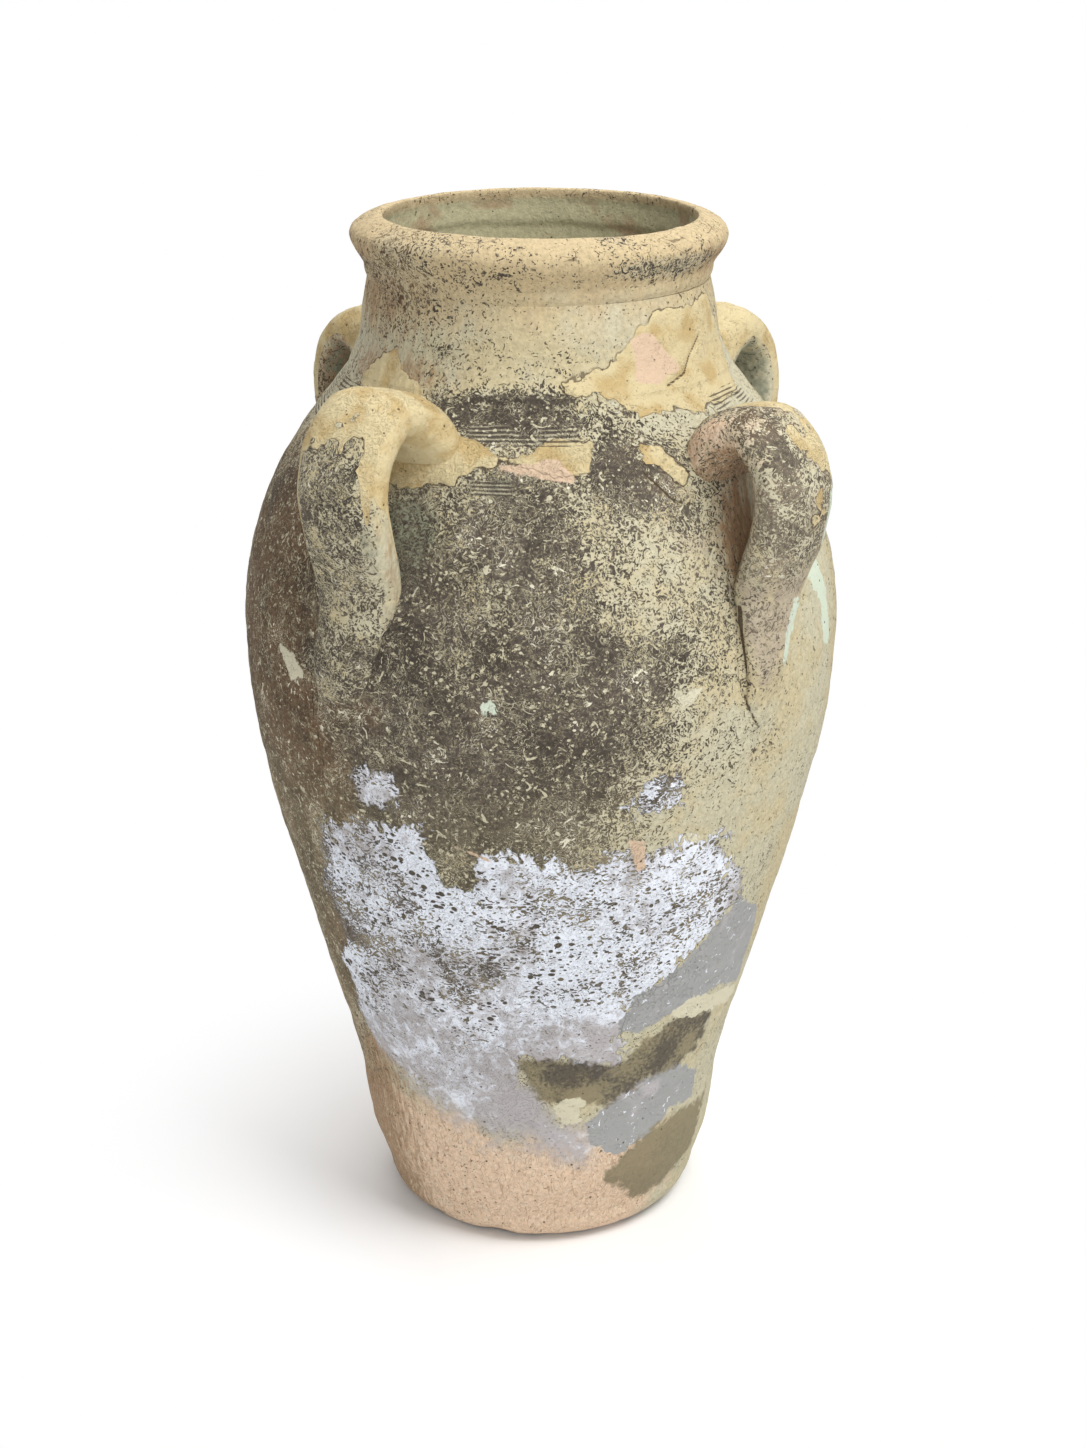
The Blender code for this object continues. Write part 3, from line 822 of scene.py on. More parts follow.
class Coat:
    """A clay surface while it is built up: nodes, hues by name, colour so far and height in millimetres."""

    def __init__(self, name, hue):
        self.hue = hue
        self.tree = node_tree(bpy.data.materials.new(name))
        self.shader = self.tree.nodes["Principled BSDF"]
        place = add(self.tree, "ShaderNodeTexCoord", out="Object")
        self.place = add(self.tree, "ShaderNodeMapping", {"Vector": place, "Scale": (1 / MM,) * 3})
        self.tall = self.zone("tall")
        self.broad, self.lumps, self.knobs = (self.zone(name) for name in NOISE_ZONES)
        self.colour = self.height = None

    def zone(self, name):
        """Value that the mesh carries for a deposit."""
        return add(self.tree, "ShaderNodeAttribute", out="Fac", attribute_name=name)

    def sum(self, first, second, share=1.0):
        """First plus a share of second."""
        return calc(self.tree, "MULTIPLY_ADD", second, share, first)

    def times(self, first, second):
        """Product of two values."""
        return calc(self.tree, "MULTIPLY", first, second)

    def rise(self, value, low, high, start=0.0, end=1.0):
        """S curve from start to end as the value goes from low to high."""
        sockets = {"Value": value, "From Min": low, "From Max": high, "To Min": start, "To Max": end}
        return add(self.tree, "ShaderNodeMapRange", sockets, interpolation_type="SMOOTHSTEP")

    def grain(self, size, detail=2.0, twist=0.0, shift=0.0, tall=1.0):
        """Noise around 0, spread about 1, of lumps about size millimetres across and tall times as high."""
        sockets = {"Vector": self.place, "Scale": 1 / size, "Detail": detail, "Distortion": twist}
        noise = self.moved(add(self.tree, "ShaderNodeTexNoise", sockets), shift, tall)
        return calc(self.tree, "MULTIPLY_ADD", noise, 5.0, -2.5)

    def moved(self, texture, shift, tall):
        """Texture moved by some millimetres on each axis and stretched upwards, by its own mapping."""
        texture.node.texture_mapping.translation = (shift, shift, shift)
        texture.node.texture_mapping.scale = (1, 1, 1 / tall)
        return texture

    def ridges(self, size, twist, shift=0.0, tall=1.0):
        """0 on curled lines and about 0.5 between them: the size of a twisted noise."""
        noise = self.grain(size, 1.0, twist, shift, tall)
        return calc(self.tree, "ABSOLUTE", noise)

    def shade(self, level):
        """Darken or lighten the colour by a factor."""
        self.colour = add(self.tree, "ShaderNodeHueSaturation", {"Color": self.colour, "Value": level})

    def blend(self, first, second, share):
        """Colour at a share of the way from first to second, each a name or made here before."""
        first, second = ((*self.hue[c], 1.0) if isinstance(c, str) else c for c in (first, second))
        return add(self.tree, "ShaderNodeMix", {0: share, 6: first, 7: second}, out=2, data_type="RGBA")

    def lay(self, colour, cover, thickness=0.0):
        """Lay a deposit of a colour where cover is 1, that many millimetres thick."""
        self.colour = self.blend(self.colour, colour, cover)
        if thickness:
            self.height = self.sum(self.height, cover, thickness)

    def finish(self):
        """Feed colour, roughness and the height's bump to the shader."""
        sockets = {"Height": self.height, "Distance": MM, "Strength": 1.0}
        bump = add(self.tree, "ShaderNodeBump", sockets, out="Normal")
        self.tree.links.new(self.colour, self.shader.inputs["Base Color"])
        self.tree.links.new(bump, self.shader.inputs["Normal"])
        for name, value in CLAY_FINISH.items():
            self.shader.inputs[name].default_value = value


def green_shade_and_flake_share(coat):
    """Share of grey green painted shade under and inside the handles, and of one small flake on the wall."""
    return coat.rise(coat.sum(coat.zone("green_shade_and_flake"), coat.grain(5, 3), 0.2), 0.2, 0.9, 0.0, 0.9)


def thrown_body(coat):
    """Buff earthenware mottled by firing and dust: warmer rim with painted shade below it, salmon foot, tan
    lower left, rose handle.
    """
    mottle = coat.rise(coat.sum(coat.broad, coat.grain(7, 2, shift=4), 0.5), -0.9, 0.9)
    coat.colour = coat.blend("buff", "straw", mottle)
    # The rim clay starts below the rim band, so it darkens the collar under the rim: painted shade there
    coat.lay("rim", coat.rise(coat.sum(coat.tall, coat.knobs, 5.0), 536, 576, 0.0, 0.95))
    # Grey green painted shade under the handles
    coat.lay("green_shade_and_flake", green_shade_and_flake_share(coat))
    coat.lay("rose", coat.rise(coat.sum(coat.zone("rose"), coat.knobs, 0.2), 0.2, 0.8))
    foot = coat.rise(coat.sum(coat.zone("salmon"), coat.knobs, 0.10), 0.25, 0.75)
    coat.lay("salmon", foot)
    strokes = coat.grain(2.6, 3, shift=12, tall=7)
    coat.lay("tan", coat.rise(coat.sum(coat.zone("tan"), strokes, 0.35), 0.15, 1.0))
    scored = coat.ridges(3.0, 1.6, shift=30, tall=3.5)
    coat.lay("chip", coat.times(coat.rise(scored, 0.05, 0.24, 0.38, 0.0), foot))
    coat.lay("tan", coat.times(coat.rise(coat.ridges(5.0, 1.4, 36, 2.4), 0.03, 0.16, 0.55, 0.0), foot))
    coat.lay("inside", coat.rise(coat.zone("inside"), 0.2, 0.8))
    stained = coat.times(coat.rise(coat.lumps, 0.1, 1.1, 0.0, 0.65), coat.zone("inside"))
    coat.lay("tan", stained)
    coat.shade(coat.rise(coat.grain(2.4, 3), -1.2, 1.2, 0.86, 1.10))
    coat.height = coat.sum(0.0, coat.grain(1.3, 2), 0.07)
    coat.height = coat.sum(coat.height, coat.grain(6, 2, shift=2), 0.16)
    coat.height = coat.sum(coat.height, coat.times(strokes, coat.zone("tan")), 0.25)


def dots(coat, spacing, radius, shift, tall=1.0):
    """1 in small frayed blots of about a radius, one to each cell of a spacing in millimetres."""
    sockets = {"Vector": coat.place, "Scale": 1 / spacing, "Randomness": 1.0}
    spot = coat.moved(add(coat.tree, "ShaderNodeTexVoronoi", sockets, out="Distance"), shift, tall)
    edge = radius / spacing
    wavy = coat.sum(spot, coat.knobs, 0.35 * edge)
    wavy = coat.sum(wavy, coat.grain(spacing * 0.4, 0, shift=shift), 0.25 * edge)
    return coat.rise(wavy, edge * 0.8, edge * 1.25, 1.0, 0.0)


def pitted(coat):
    """Small dark pits in the body, where temper has fallen out, and finer specks of dirt."""
    coat.lay("pit", coat.times(dots(coat, 5.5, 0.45, 0), 0.65), -0.3)
    coat.lay("pit", coat.times(dots(coat, 2.1, 0.26, 9), 0.38))


def crusted(coat):
    """Dark mineral crust that has flaked in short curled flecks, browner on the left side of the jar.

    The finest flecks of the real crust are under half a millimetre, and are drawn 1 mm wide and more.
    """
    curls = coat.sum(coat.times(coat.ridges(5.0, 2.2), 1.7), coat.ridges(2.7, 1.6, shift=31), 1.2)
    field = coat.sum(curls, coat.grain(9, 4, twist=1.6, shift=3), 0.42)
    field = coat.sum(field, dots(coat, 5.0, 0.85, 40, 0.8), -1.1)
    field = coat.sum(field, dots(coat, 3.4, 0.6, 60), 0.8)
    level = coat.sum(field, add(coat.tree, "ShaderNodeMapRange", {
        "Value": coat.zone("crust"), "To Min": -3.2, "To Max": -0.25}))
    bare = coat.rise(coat.zone("inside"), 0.3, 0.6, 1.0, 0.0)
    cover = coat.times(coat.rise(level, -0.18, 0.14), bare)
    umber = coat.rise(coat.sum(coat.zone("umber"), coat.lumps, 0.15), 0.2, 0.9)
    dark = coat.blend("crust", "umber", umber)
    low = coat.rise(coat.sum(coat.tall, coat.lumps, 9.0), 270, 350, 0.70, 1.0)
    dark = coat.blend("olive", dark, low)
    dark = coat.blend(dark, "rose", coat.times(coat.zone("rose"), 0.30))
    pale = coat.rise(coat.zone("crust"), 0.40, 0.85, 0.0, 0.8)
    bared = coat.blend("fleck", "straw", coat.rise(coat.knobs, -0.4, 1.2))
    # Flecks, and the chips below, take on the grey green painted shade under the handles
    coat.lay(coat.blend(bared, "green_shade_and_flake", green_shade_and_flake_share(coat)), pale)
    dust = coat.blend(dark, "straw", coat.rise(level, 0.0, 0.9, 0.32, 0.0))
    coat.lay(dust, cover, 0.8)
    tone = coat.rise(coat.sum(coat.grain(2.2, 2, shift=3), coat.lumps, 0.6), -1.4, 1.5, -0.36, 0.36)
    coat.shade(coat.sum(1.0, tone, cover))
    where = coat.times(cover, coat.rise(coat.zone("crust"), 0.50, 0.75))
    chips = coat.times(dots(coat, 4.6, 0.62, 90, 0.8), coat.rise(coat.broad, -0.3, 0.7))
    scabs = coat.rise(coat.grain(8, 4, twist=2.2, shift=52), 0.66, 0.80)
    lines = coat.rise(coat.ridges(6.5, 2.4, shift=72), 0.05, 0.16, 0.75, 0.0)
    lines = coat.times(lines, coat.rise(coat.knobs, -0.1, 0.5))
    for more in (scabs, lines):
        chips = calc(coat.tree, "MAXIMUM", chips, more)
    bright = coat.blend("fleck", "chip", coat.rise(coat.lumps, 0.0, 1.2))
    coat.lay(coat.blend(bright, "green_shade_and_flake", green_shade_and_flake_share(coat)), coat.times(chips, where))


def edge_cover(coat, name, size, ragged, low=-0.5, high=0.5):
    """Cover of a deposit: 1 inside its outline, 0 outside, with an edge frayed by grains of that size."""
    return coat.rise(coat.sum(coat.zone(name), coat.grain(size, 3, twist=0.6), ragged), low, high)


def limed(coat):
    """Lime deposit: thick and white with worm-shaped holes above, thin and streaked towards the foot, with
    painted shade lower down.
    """
    streaks = coat.grain(3.0, 3, twist=0.4, shift=14, tall=5)
    depth = coat.sum(coat.sum(coat.zone("lime"), coat.grain(5.5, 2, twist=1.4), 4.0), streaks, 2.2)
    wide = coat.rise(coat.tall, 95, 150, 16.0, 1.3)
    body = coat.rise(calc(coat.tree, "DIVIDE", depth, wide), -1.0, 1.0)
    worms = coat.sum(coat.times(coat.ridges(6.0, 1.8, 17, 0.6), 1.7), coat.ridges(3.0, 1.2, 5, 0.7), 0.8)
    worms = coat.sum(worms, coat.lumps, 0.55)
    dashes = coat.sum(dots(coat, 5.2, 0.95, 70, 0.6), dots(coat, 8.0, 1.5, 80, 0.7))
    open_share = coat.rise(coat.sum(worms, coat.zone("holes"), 2.2), 2.55, 2.75)
    dense = coat.rise(coat.sum(coat.zone("holes"), coat.broad, 0.08), 0.0, 0.35)
    solid = coat.rise(coat.sum(open_share, coat.times(dashes, dense)), 0.2, 0.8, 1.0, 0.0)
    # The white greys to lilac at random, and more the lower it lies below 200 mm: painted shade there
    shadow = coat.sum(coat.grain(6, 3, twist=0.8, shift=9), coat.broad, 0.8)
    shadow = coat.sum(shadow, coat.rise(coat.tall, 90, 200, -1.2, 0.0))
    white = coat.blend("lime_shade", "lime", coat.rise(shadow, -1.5, 0.5))
    under = coat.blend("crust", "olive", coat.rise(coat.knobs, -0.6, 1.4))
    coat.lay(under, coat.times(body, coat.rise(coat.tall, 100, 160, 0.3, 0.85)))
    coat.lay(white, coat.times(body, solid), 0.9)
    lines = coat.times(coat.rise(coat.ridges(3.4, 1.0, 50, 0.7), 0.04, 0.20, 0.5, 0.0), body)
    coat.lay("lime_shade", coat.times(lines, coat.rise(coat.lumps, -0.5, 0.6)))


def patched(coat):
    """Cement, olive stain, slip, pink and mint flakes and cream chips, each over the ones before."""
    grey = coat.blend("cement", "lime_shade", coat.rise(coat.knobs, 0.3, 2.2))
    coat.lay(grey, edge_cover(coat, "cement", 4, 1.5))
    patch = edge_cover(coat, "cement", 5, 2.0)
    flakes = coat.rise(coat.grain(4, 3, twist=1.2, shift=21), 0.8, 1.0)
    coat.lay("lime", coat.times(patch, flakes))
    stain = coat.rise(coat.sum(coat.grain(2.2, 2, shift=4), coat.lumps, 1.0), -0.8, 1.3)
    stain = coat.times(stain, coat.rise(coat.tall, 80, 112, 0.25, 1.0))
    olive = coat.blend("olive", "crust", stain)
    coat.lay(olive, coat.times(edge_cover(coat, "olive", 5, 2.6, -2.5, 2.5), 0.92))
    slip_edge = coat.sum(coat.zone("slip"), coat.grain(6, 3, twist=0.6), 1.2)
    outline = coat.times(coat.rise(slip_edge, -1.1, -0.3), coat.rise(slip_edge, 0.0, 0.4, 0.75, 0.0))
    coat.lay("pit", coat.times(outline, coat.rise(coat.knobs, -0.4, 0.6)))
    # Thin slip colour where the smear's relief is low: thin slip, and painted shade in its hollows
    smear = coat.sum(coat.knobs, coat.grain(3.5, 2, twist=2.0, shift=68), 0.35)
    slip = coat.blend("slip_shade", "slip", coat.rise(smear, -1.6, 0.5))
    coat.lay(slip, coat.rise(slip_edge, -0.1, 0.4), 0.8)
    coat.height = coat.sum(coat.height, coat.times(smear, coat.rise(slip_edge, 0.0, 2.0)), 0.30)
    coat.lay("pink", edge_cover(coat, "pink", 3, 0.6))
    coat.lay("mint", edge_cover(coat, "mint", 3, 1.5))
    coat.lay(coat.blend("fleck", "chip", 0.35), edge_cover(coat, "chip", 3, 1.0))
    coat.lay("pit", coat.times(dots(coat, 7.0, 0.5, 3), 0.85))


def cracked_and_shaded(coat):
    """Darker comb grooves and paler ridges, dirt in cracks, painted shade under the neck's ledge, a darker foot
    edge, and hairline cracks in the rim.
    """
    teeth = coat.times(coat.sum(coat.tall, coat.broad, 0.7), 2 * math.pi * MM / COMB_PITCH)
    teeth = calc(coat.tree, "SINE", teeth)
    groove = coat.sum(coat.sum(coat.zone("comb"), teeth, 0.5), coat.grain(7, 3, shift=11, tall=0.3), 0.22)
    ridge = coat.sum(coat.sum(coat.zone("comb"), teeth, -0.5), coat.grain(5, 3, shift=27, tall=0.3), 0.22)
    broken = coat.rise(coat.lumps, -0.5, 0.3)
    coat.lay("fleck", coat.times(coat.rise(ridge, 1.1, 1.5, 0.0, 0.5), broken))
    coat.lay("crust", coat.times(coat.rise(groove, 1.10, 1.35, 0.0, 0.8), broken), -0.5)
    crack = coat.sum(coat.zone("crack"), coat.grain(3, 2), 0.15)
    coat.lay("pit", coat.rise(crack, 0.30, 0.75, 0.9, 0.0), -0.4)
    # Crust colour as painted shade under the neck's ledge, and to darken the foot's lower edge
    ledge_shade_and_dark_foot = coat.sum(coat.zone("ledge_shade_and_dark_foot"), coat.grain(3.5, 3, twist=0.8), 0.35)
    coat.lay("crust", coat.rise(ledge_shade_and_dark_foot, 0.45, 0.85, 0.0, 0.85))
    place = add(coat.tree, "ShaderNodeVectorMath", {0: coat.place, 1: (1, 1, 2.2)}, operation="MULTIPLY")
    noise = add(coat.tree, "ShaderNodeTexNoise", {"Vector": coat.place, "Scale": 1 / 9}, out="Color")
    sockets = {0: noise, 1: (5, 5, 5), 2: place}
    place = add(coat.tree, "ShaderNodeVectorMath", sockets, operation="MULTIPLY_ADD")
    sockets = {"Vector": place, "Scale": 1 / 26}
    cells = add(coat.tree, "ShaderNodeTexVoronoi", sockets, out="Distance", feature="DISTANCE_TO_EDGE")
    hair = coat.times(coat.rise(cells, 0.004, 0.014, 1.0, 0.0), coat.rise(coat.tall, 574, 584))
    hair = coat.times(hair, coat.rise(coat.lumps, 0.0, 0.6, 0.0, 0.6))
    coat.lay("pit", coat.times(hair, coat.rise(coat.zone("inside"), 0.3, 0.6, 1.0, 0.0)))


LAYERS = (thrown_body, pitted, crusted, limed, patched, cracked_and_shaded)


def earthenware(context):
    """The jar's clay, made once: unglazed and weathered outdoors, so matt, porous, chalky and crusted."""
    name = "weathered_earthenware"
    if name not in bpy.data.materials:
        colours = context.scene.clay_colours
        coat = Coat(name, {hue: tuple(getattr(colours, hue)) for hue in ClayColours.__annotations__})
        for layer in LAYERS:
            layer(coat)
        coat.finish()
    return bpy.data.materials[name]


# Floor disc: how far its upper face stands above the foot's edge, where its rows end round the axis, and
# the height over which its relief dies out down to the flat foot
FLOOR_RISE = 6 * MM
POLE_RADIUS = 2 * MM
FOOT_CALM = 5 * MM


class JAR_OT_floor_disc(bpy.types.Operator):
    """Build the floor disc with its rounded, chipped foot edge"""

    bl_idname = "jar.floor_disc"
    bl_label = "Floor Disc"

    def execute(self, context):
        sizes = context.scene.jar_sizes
        inner = float(outer_radius(sizes, sizes.foot_edge)) - sizes.wall
        top = [(r, sizes.foot_edge + FLOOR_RISE, 0, 1, 1) for r in np.linspace(POLE_RADIUS, inner, 16)]
        step = [(inner, sizes.foot_edge, 0, 0, 1)]
        edge = [(mix(sizes.foot_flat, sizes.foot_radius, math.cos(t)), sizes.foot_edge * (1 - math.sin(t)),
                 math.cos(t), 0, 0) for t in np.linspace(0, math.pi / 2, 14)]
        under = [(r, 0, 0, 0, 0) for r in np.linspace(sizes.foot_flat, POLE_RADIUS, 18)[1:]]
        outline = np.array(top + step + edge + under).T
        turned_piece(context, "base_disc", outline, poles=True)
        return {"FINISHED"}


class JAR_OT_wall_sections(bpy.types.Operator):
    """Build the three thrown wall sections between foot and neck"""

    bl_idname = "jar.wall_sections"
    bl_label = "Wall Sections"

    def execute(self, context):
        sizes = context.scene.jar_sizes
        joints = (sizes.foot_edge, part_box("belly_wall")[0].z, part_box("shoulder_wall")[0].z, sizes.neck_base)
        for name, low, high in zip(("lower_wall", "belly_wall", "shoulder_wall"), joints[:-1], joints[1:]):
            turned_piece(context, name, wall_outline(sizes, name, low, high))
        return {"FINISHED"}


class JAR_OT_neck(bpy.types.Operator):
    """Build the thrown neck on the shoulder"""

    bl_idname = "jar.neck"
    bl_label = "Neck"

    def execute(self, context):
        sizes = context.scene.jar_sizes
        outline = wall_outline(sizes, "neck", sizes.neck_base, sizes.neck_top)
        turned_piece(context, "neck", outline)
        return {"FINISHED"}


def rim_outline(sizes):
    """Rows of the rim band: up inside the mouth, over the lip, down outside, and back across below."""
    tall = sizes.rim_top - sizes.neck_top
    stretches = (
        (sizes.neck_radius, sizes.rim_radius, RIM_SIDE_SHARES),
        (sizes.rim_radius, sizes.mouth_radius, RIM_LIP_SHARES + RIM_INSIDE_SHARES),
    )
    spots = [(mix(first, last, way), sizes.neck_top + tall * up)
             for first, last, shares in stretches for up, way in shares]
    spots = np.array(spots[::-1])
    run = running(np.hypot(*np.diff(spots, axis=0).T))
    at = np.linspace(0, run[-1], ROWS["rim_band"])
    radii, heights = smooth_curve(run, spots[:, 0], at), smooth_curve(run, spots[:, 1], at)
    tangent_out, tangent_up = np.gradient(radii), np.gradient(heights)
    size = np.hypot(tangent_out, tangent_up)
    lip_at = run[len(RIM_INSIDE_SHARES)] + 2 * MM
    shares = 1 - fade(at, lip_at - 8 * MM, lip_at)
    edge = np.linspace(0, 1, 5)[1:-1]
    radii = np.concatenate([radii, mix(radii[-1], radii[0], edge)])
    heights = np.concatenate([heights, heights[-1] + 0 * edge])
    out = np.concatenate([-tangent_up / size, 1 - 2 * edge])
    up = np.concatenate([tangent_out / size, 0 * edge])
    return radii, heights, out, up, np.concatenate([shares, edge])


class JAR_OT_rim_band(bpy.types.Operator):
    """Build the thick rounded rim band round the mouth"""

    bl_idname = "jar.rim_band"
    bl_label = "Rim Band"

    def execute(self, context):
        turned_piece(context, "rim_band", rim_outline(context.scene.jar_sizes))
        return {"FINISHED"}


def tail_crack(along, side):
    """Millimetres from the crack that runs down the left edge of a front strap's tail."""
    return 40 - 39.9 * fade(-side, 0.955, 0.998) * fade(along, 0.58, 0.68)


def front_strap(along, side, face, ragged):
    """Left front strap: slip over the crest with a long drip, crusted face, tan inner edge and painted shade.
    """
    drip = 0.345 + 0.045 * ragged + 0.15 * bell(side, 0.80, 0.12) + 0.10 * fade(side, 0.90, 0.98)
    rim = fade(-side, 0.72, 0.84) * (1 - fade(along, 0.5, 0.6)) * 0.3
    inner = fade(side, 0.85, 0.96) * (1 - fade(along, 0.70, 0.80))
    # Underside near the root: grey green painted shade and less crust
    under = fade(-face, 0.0, 0.3) * (1 - fade(along, 0.6, 0.7))
    pale = bell(along, 0.59, 0.09) * fade(side, 0.35, 0.80)
    crust = (0.78 + 0.20 * ragged) * (1 - 0.8 * inner) * (1 - 0.8 * under) - 0.35 * pale
    return {
        "slip": (drip + rim + 0.12 * under - along) * 260,
        "crust": crust - 0.25 * bell(along, 0.90, 0.04),
        "tan": 0.35 * inner * fade(along, 0.4, 0.5) + 0.6 * bell(along, 0.90, 0.05),
        # Grey green painted shade halfway along by the inner edge, and on the underside
        "green_shade_and_flake": 0.6 * bell(along, 0.50, 0.06) * bell(side, 0.7, 0.25) + 0.5 * under,
        "umber": 0.12,
        "crack": tail_crack(along, side),
    }


def right_strap(along, side, face, ragged):
    """Right front strap: cream and peach crest, partly painted highlight, frilled dark patches, rose grey face,
    pale right edge.
    """
    outer = fade(face, -0.2, 0.3) * fade(side, -0.35, 0.05)
    # Cream slip on the crest's upper face, which also stands as painted highlight on the top of the arch
    crest = bell(along, 0.23, 0.17) * outer * (0.75 + 0.5 * ragged)
    frill = bell(along, 0.27, 0.19) * bell(side + 0.22 * ragged, -0.50, 0.42) * fade(face, -0.3, 0.2)
    dark = 0.58 * frill + 0.28 * bell(along, 0.50, 0.10)
    right = fade(side, 0.3, 0.7) * fade(along, 0.42, 0.50)
    specks = 0.35 * bell(along, 0.36, 0.10) * fade(side, 0.0, 0.6)
    # Underside near the root: brown painted shade, through the tan share below
    under = fade(-face, 0.1, 0.5) * (1 - fade(along, 0.6, 0.7))
    flesh = (1 - fade(along, 0.20, 0.42)) * (1 - outer)
    low = 1 - 0.6 * fade(along, 0.75, 0.95)
    return {
        "slip": 20 * crest - 8 + 4 * ragged,
        "crust": 0.44 + 0.16 * ragged + dark + specks - 0.34 * right,
        "mint": 15 * np.minimum(fade(side, 0.30, 0.8), bell(along, 0.46, 0.07)) - 8 + 2 * ragged,
        "chalk": 17 * np.minimum(fade(side, 0.0, 0.6), bell(along, 0.76, 0.09)) - 8 + 4 * ragged,
        "rose": (0.7 + 0.4 * ragged) * (1 - 0.6 * right) * low * (1 - flesh),
        "salmon": 0.9 * flesh,
        "tan": 0.9 * under + 0.35 * flesh,
        "umber": 0.30,
        "crack": tail_crack(along, side),
    }


def back_strap(along, side, face, ragged):
    """Right rear strap: pale cream outside, grey green painted shade on its inner face."""
    return {
        "slip": (0.62 + 0.12 * ragged - along) * 200 - 260 * fade(-face, 0.0, 0.4),
        # Grey green painted shade on the inner face
        "green_shade_and_flake": 0.6 * fade(-face, 0.0, 0.5),
        "crust": 0.30 + 0.15 * ragged,
        "umber": 0.2,
    }


def left_strap(along, side, face, ragged):
    """Left rear strap: golden tan, dark olive painted shade on its inner face."""
    return {
        "slip": (0.42 + 0.14 * ragged - along) * 160 - 260 * fade(-face, 0.0, 0.4),
        # Dark grey green painted shade on the inner face
        "green_shade_and_flake": 0.95 * fade(-face, 0.0, 0.6),
        "crust": 0.46 + 0.22 * ragged,
        "tan": 0.6 + 0.3 * ragged,
        "umber": 0.8,
    }


STRAP_LOOKS = {
    "handle_front": front_strap,
    "handle_right": right_strap,
    "handle_back": back_strap,
    "handle_left": left_strap,
}


def strap_zones(sizes, name, points, along, around):
    """What lies where on a strap, by the share along it from root to tail and the angle round its section.

    Near the wall it carries what lies on the wall, so that the deposits run on across the joint.
    """
    ragged = clouds(points, 12 * MM, 3)
    zones = dict.fromkeys(DEPOSITS, -40.0) | dict.fromkeys(SHARE_ZONES, 0.0) | {"crack": 40.0}
    zones |= STRAP_LOOKS[name](along, np.cos(around), np.sin(around), ragged)
    cracked = zones["crack"]
    zones["mint"] = np.maximum(zones["mint"], zones.pop("chalk", -40.0))
    zones["crust"] = np.clip(zones["crust"], 0, 1)
    wall = wall_zones(sizes, points, 0.0)
    zones |= {zone: wall[zone] for zone in NOISE_ZONES}
    away = radius_of(points) - outer_radius(sizes, points[..., 2])
    away = fade(away + 2 * MM * ragged, 1 * MM, 9 * MM)
    zones = {zone: mix(wall[zone], value, away) for zone, value in zones.items()}
    return zones | {"crack": np.minimum(zones["crack"], cracked)}


def strap_piece(context, name):
    """Carry a rounded flat section along one strap's centre line, then press both ends into the wall."""
    sizes, straps = context.scene.jar_sizes, context.scene.strap_sizes
    radii, heights, widths, thicknesses, facing = (row[:, None] for row in strap_path(sizes, straps, name))
    slope_out, slope_up = np.gradient(radii, axis=0), np.gradient(heights, axis=0)
    size = np.hypot(slope_out, slope_up)
    turns = np.linspace(0, 2 * math.pi, STRAP_COLUMNS, endpoint=False)[None, :]
    across, through = (np.sign(wave) * np.abs(wave) ** (2 / STRAP_SQUARENESS)
                       for wave in (np.cos(turns), np.sin(turns)))
    along = np.linspace(0, 1, STRAP_ROWS)[:, None] + 0 * turns
    ending = 1 - fade(along, 0.93, 1.0)
    radii = radii - TAIL_SINK * fade(along[:, :1], 0.82, 1.0)
    side = across * widths / 2 * mix(0.5, 1, ending)
    lift = through * thicknesses / 2 * mix(0.25, 1, ending)
    out = radii - lift * slope_up / size
    up = heights + lift * slope_out / size
    points = np.stack([out * np.cos(facing) - side * np.sin(facing),
                       out * np.sin(facing) + side * np.cos(facing), up], -1)
    normals = grid_normals(points)
    zones = strap_zones(sizes, name, points, along, np.broadcast_to(turns, along.shape))
    length_spot = np.stack(np.broadcast_arrays(across * 4, through * 3, along * 5.5), -1)
    relief = 0.7 * MM * clouds(length_spot, 1.0, 2, shift=len(name)) + 0.9 * MM * clouds(points, 24 * MM, 2)
    relief += 0.16 * MM * clouds(points, 6 * MM, 2) + 0.6 * MM * fade(zones["slip"], -0.5, 2.5)
    relief = -MM * np.log1p(np.exp(-relief / MM))
    points = points + (relief * mix(0.3, 1, ending))[..., None] * normals
    points = blend_to_wall(sizes, straps, points, normals)
    zones = {zone: value[:, ::-1] for zone, value in zones.items()}
    skin(name, points[:, ::-1], zones, earthenware(context), poles=True)


def grid_normals(points):
    """Outward normals of a tube's grid, from the cross product of its row and column steps."""
    down = np.gradient(points, axis=0)
    ring = (np.roll(points, -1, axis=1) - np.roll(points, 1, axis=1)) / 2
    normal = np.cross(ring, down)
    return -normal / np.maximum(np.linalg.norm(normal, axis=-1, keepdims=True), 1e-12)


def wall_gap(sizes, points):
    """Metres from the wall's outer face, negative inside the clay."""
    out, _ = wall_normal(sizes, points[..., 2])
    return (radius_of(points) - outer_radius(sizes, points[..., 2])) * out


def blend_to_wall(sizes, straps, points, normals):
    """Swell a strap where it nears the wall, and press what lies deep in the wall to one shallow depth."""
    reach = fillet_reach(straps, points[..., 2])
    near = np.clip(reach - wall_gap(sizes, points), 0, 1.3 * reach)
    points = points + (near**2 / (4 * reach))[..., None] * normals
    out, up = wall_normal(sizes, points[..., 2])
    push = np.maximum(-wall_gap(sizes, points) - PRESS_DEPTH, 0)
    ring = points[..., :2] / radius_of(points)[..., None]
    points[..., :2] += (push * out)[..., None] * ring
    points[..., 2] += push * up
    return points


class JAR_OT_strap_handles(bpy.types.Operator):
    """Build the four pulled strap handles"""

    bl_idname = "jar.strap_handles"
    bl_label = "Strap Handles"

    def execute(self, context):
        for name in HANDLES:
            strap_piece(context, name)
        return {"FINISHED"}


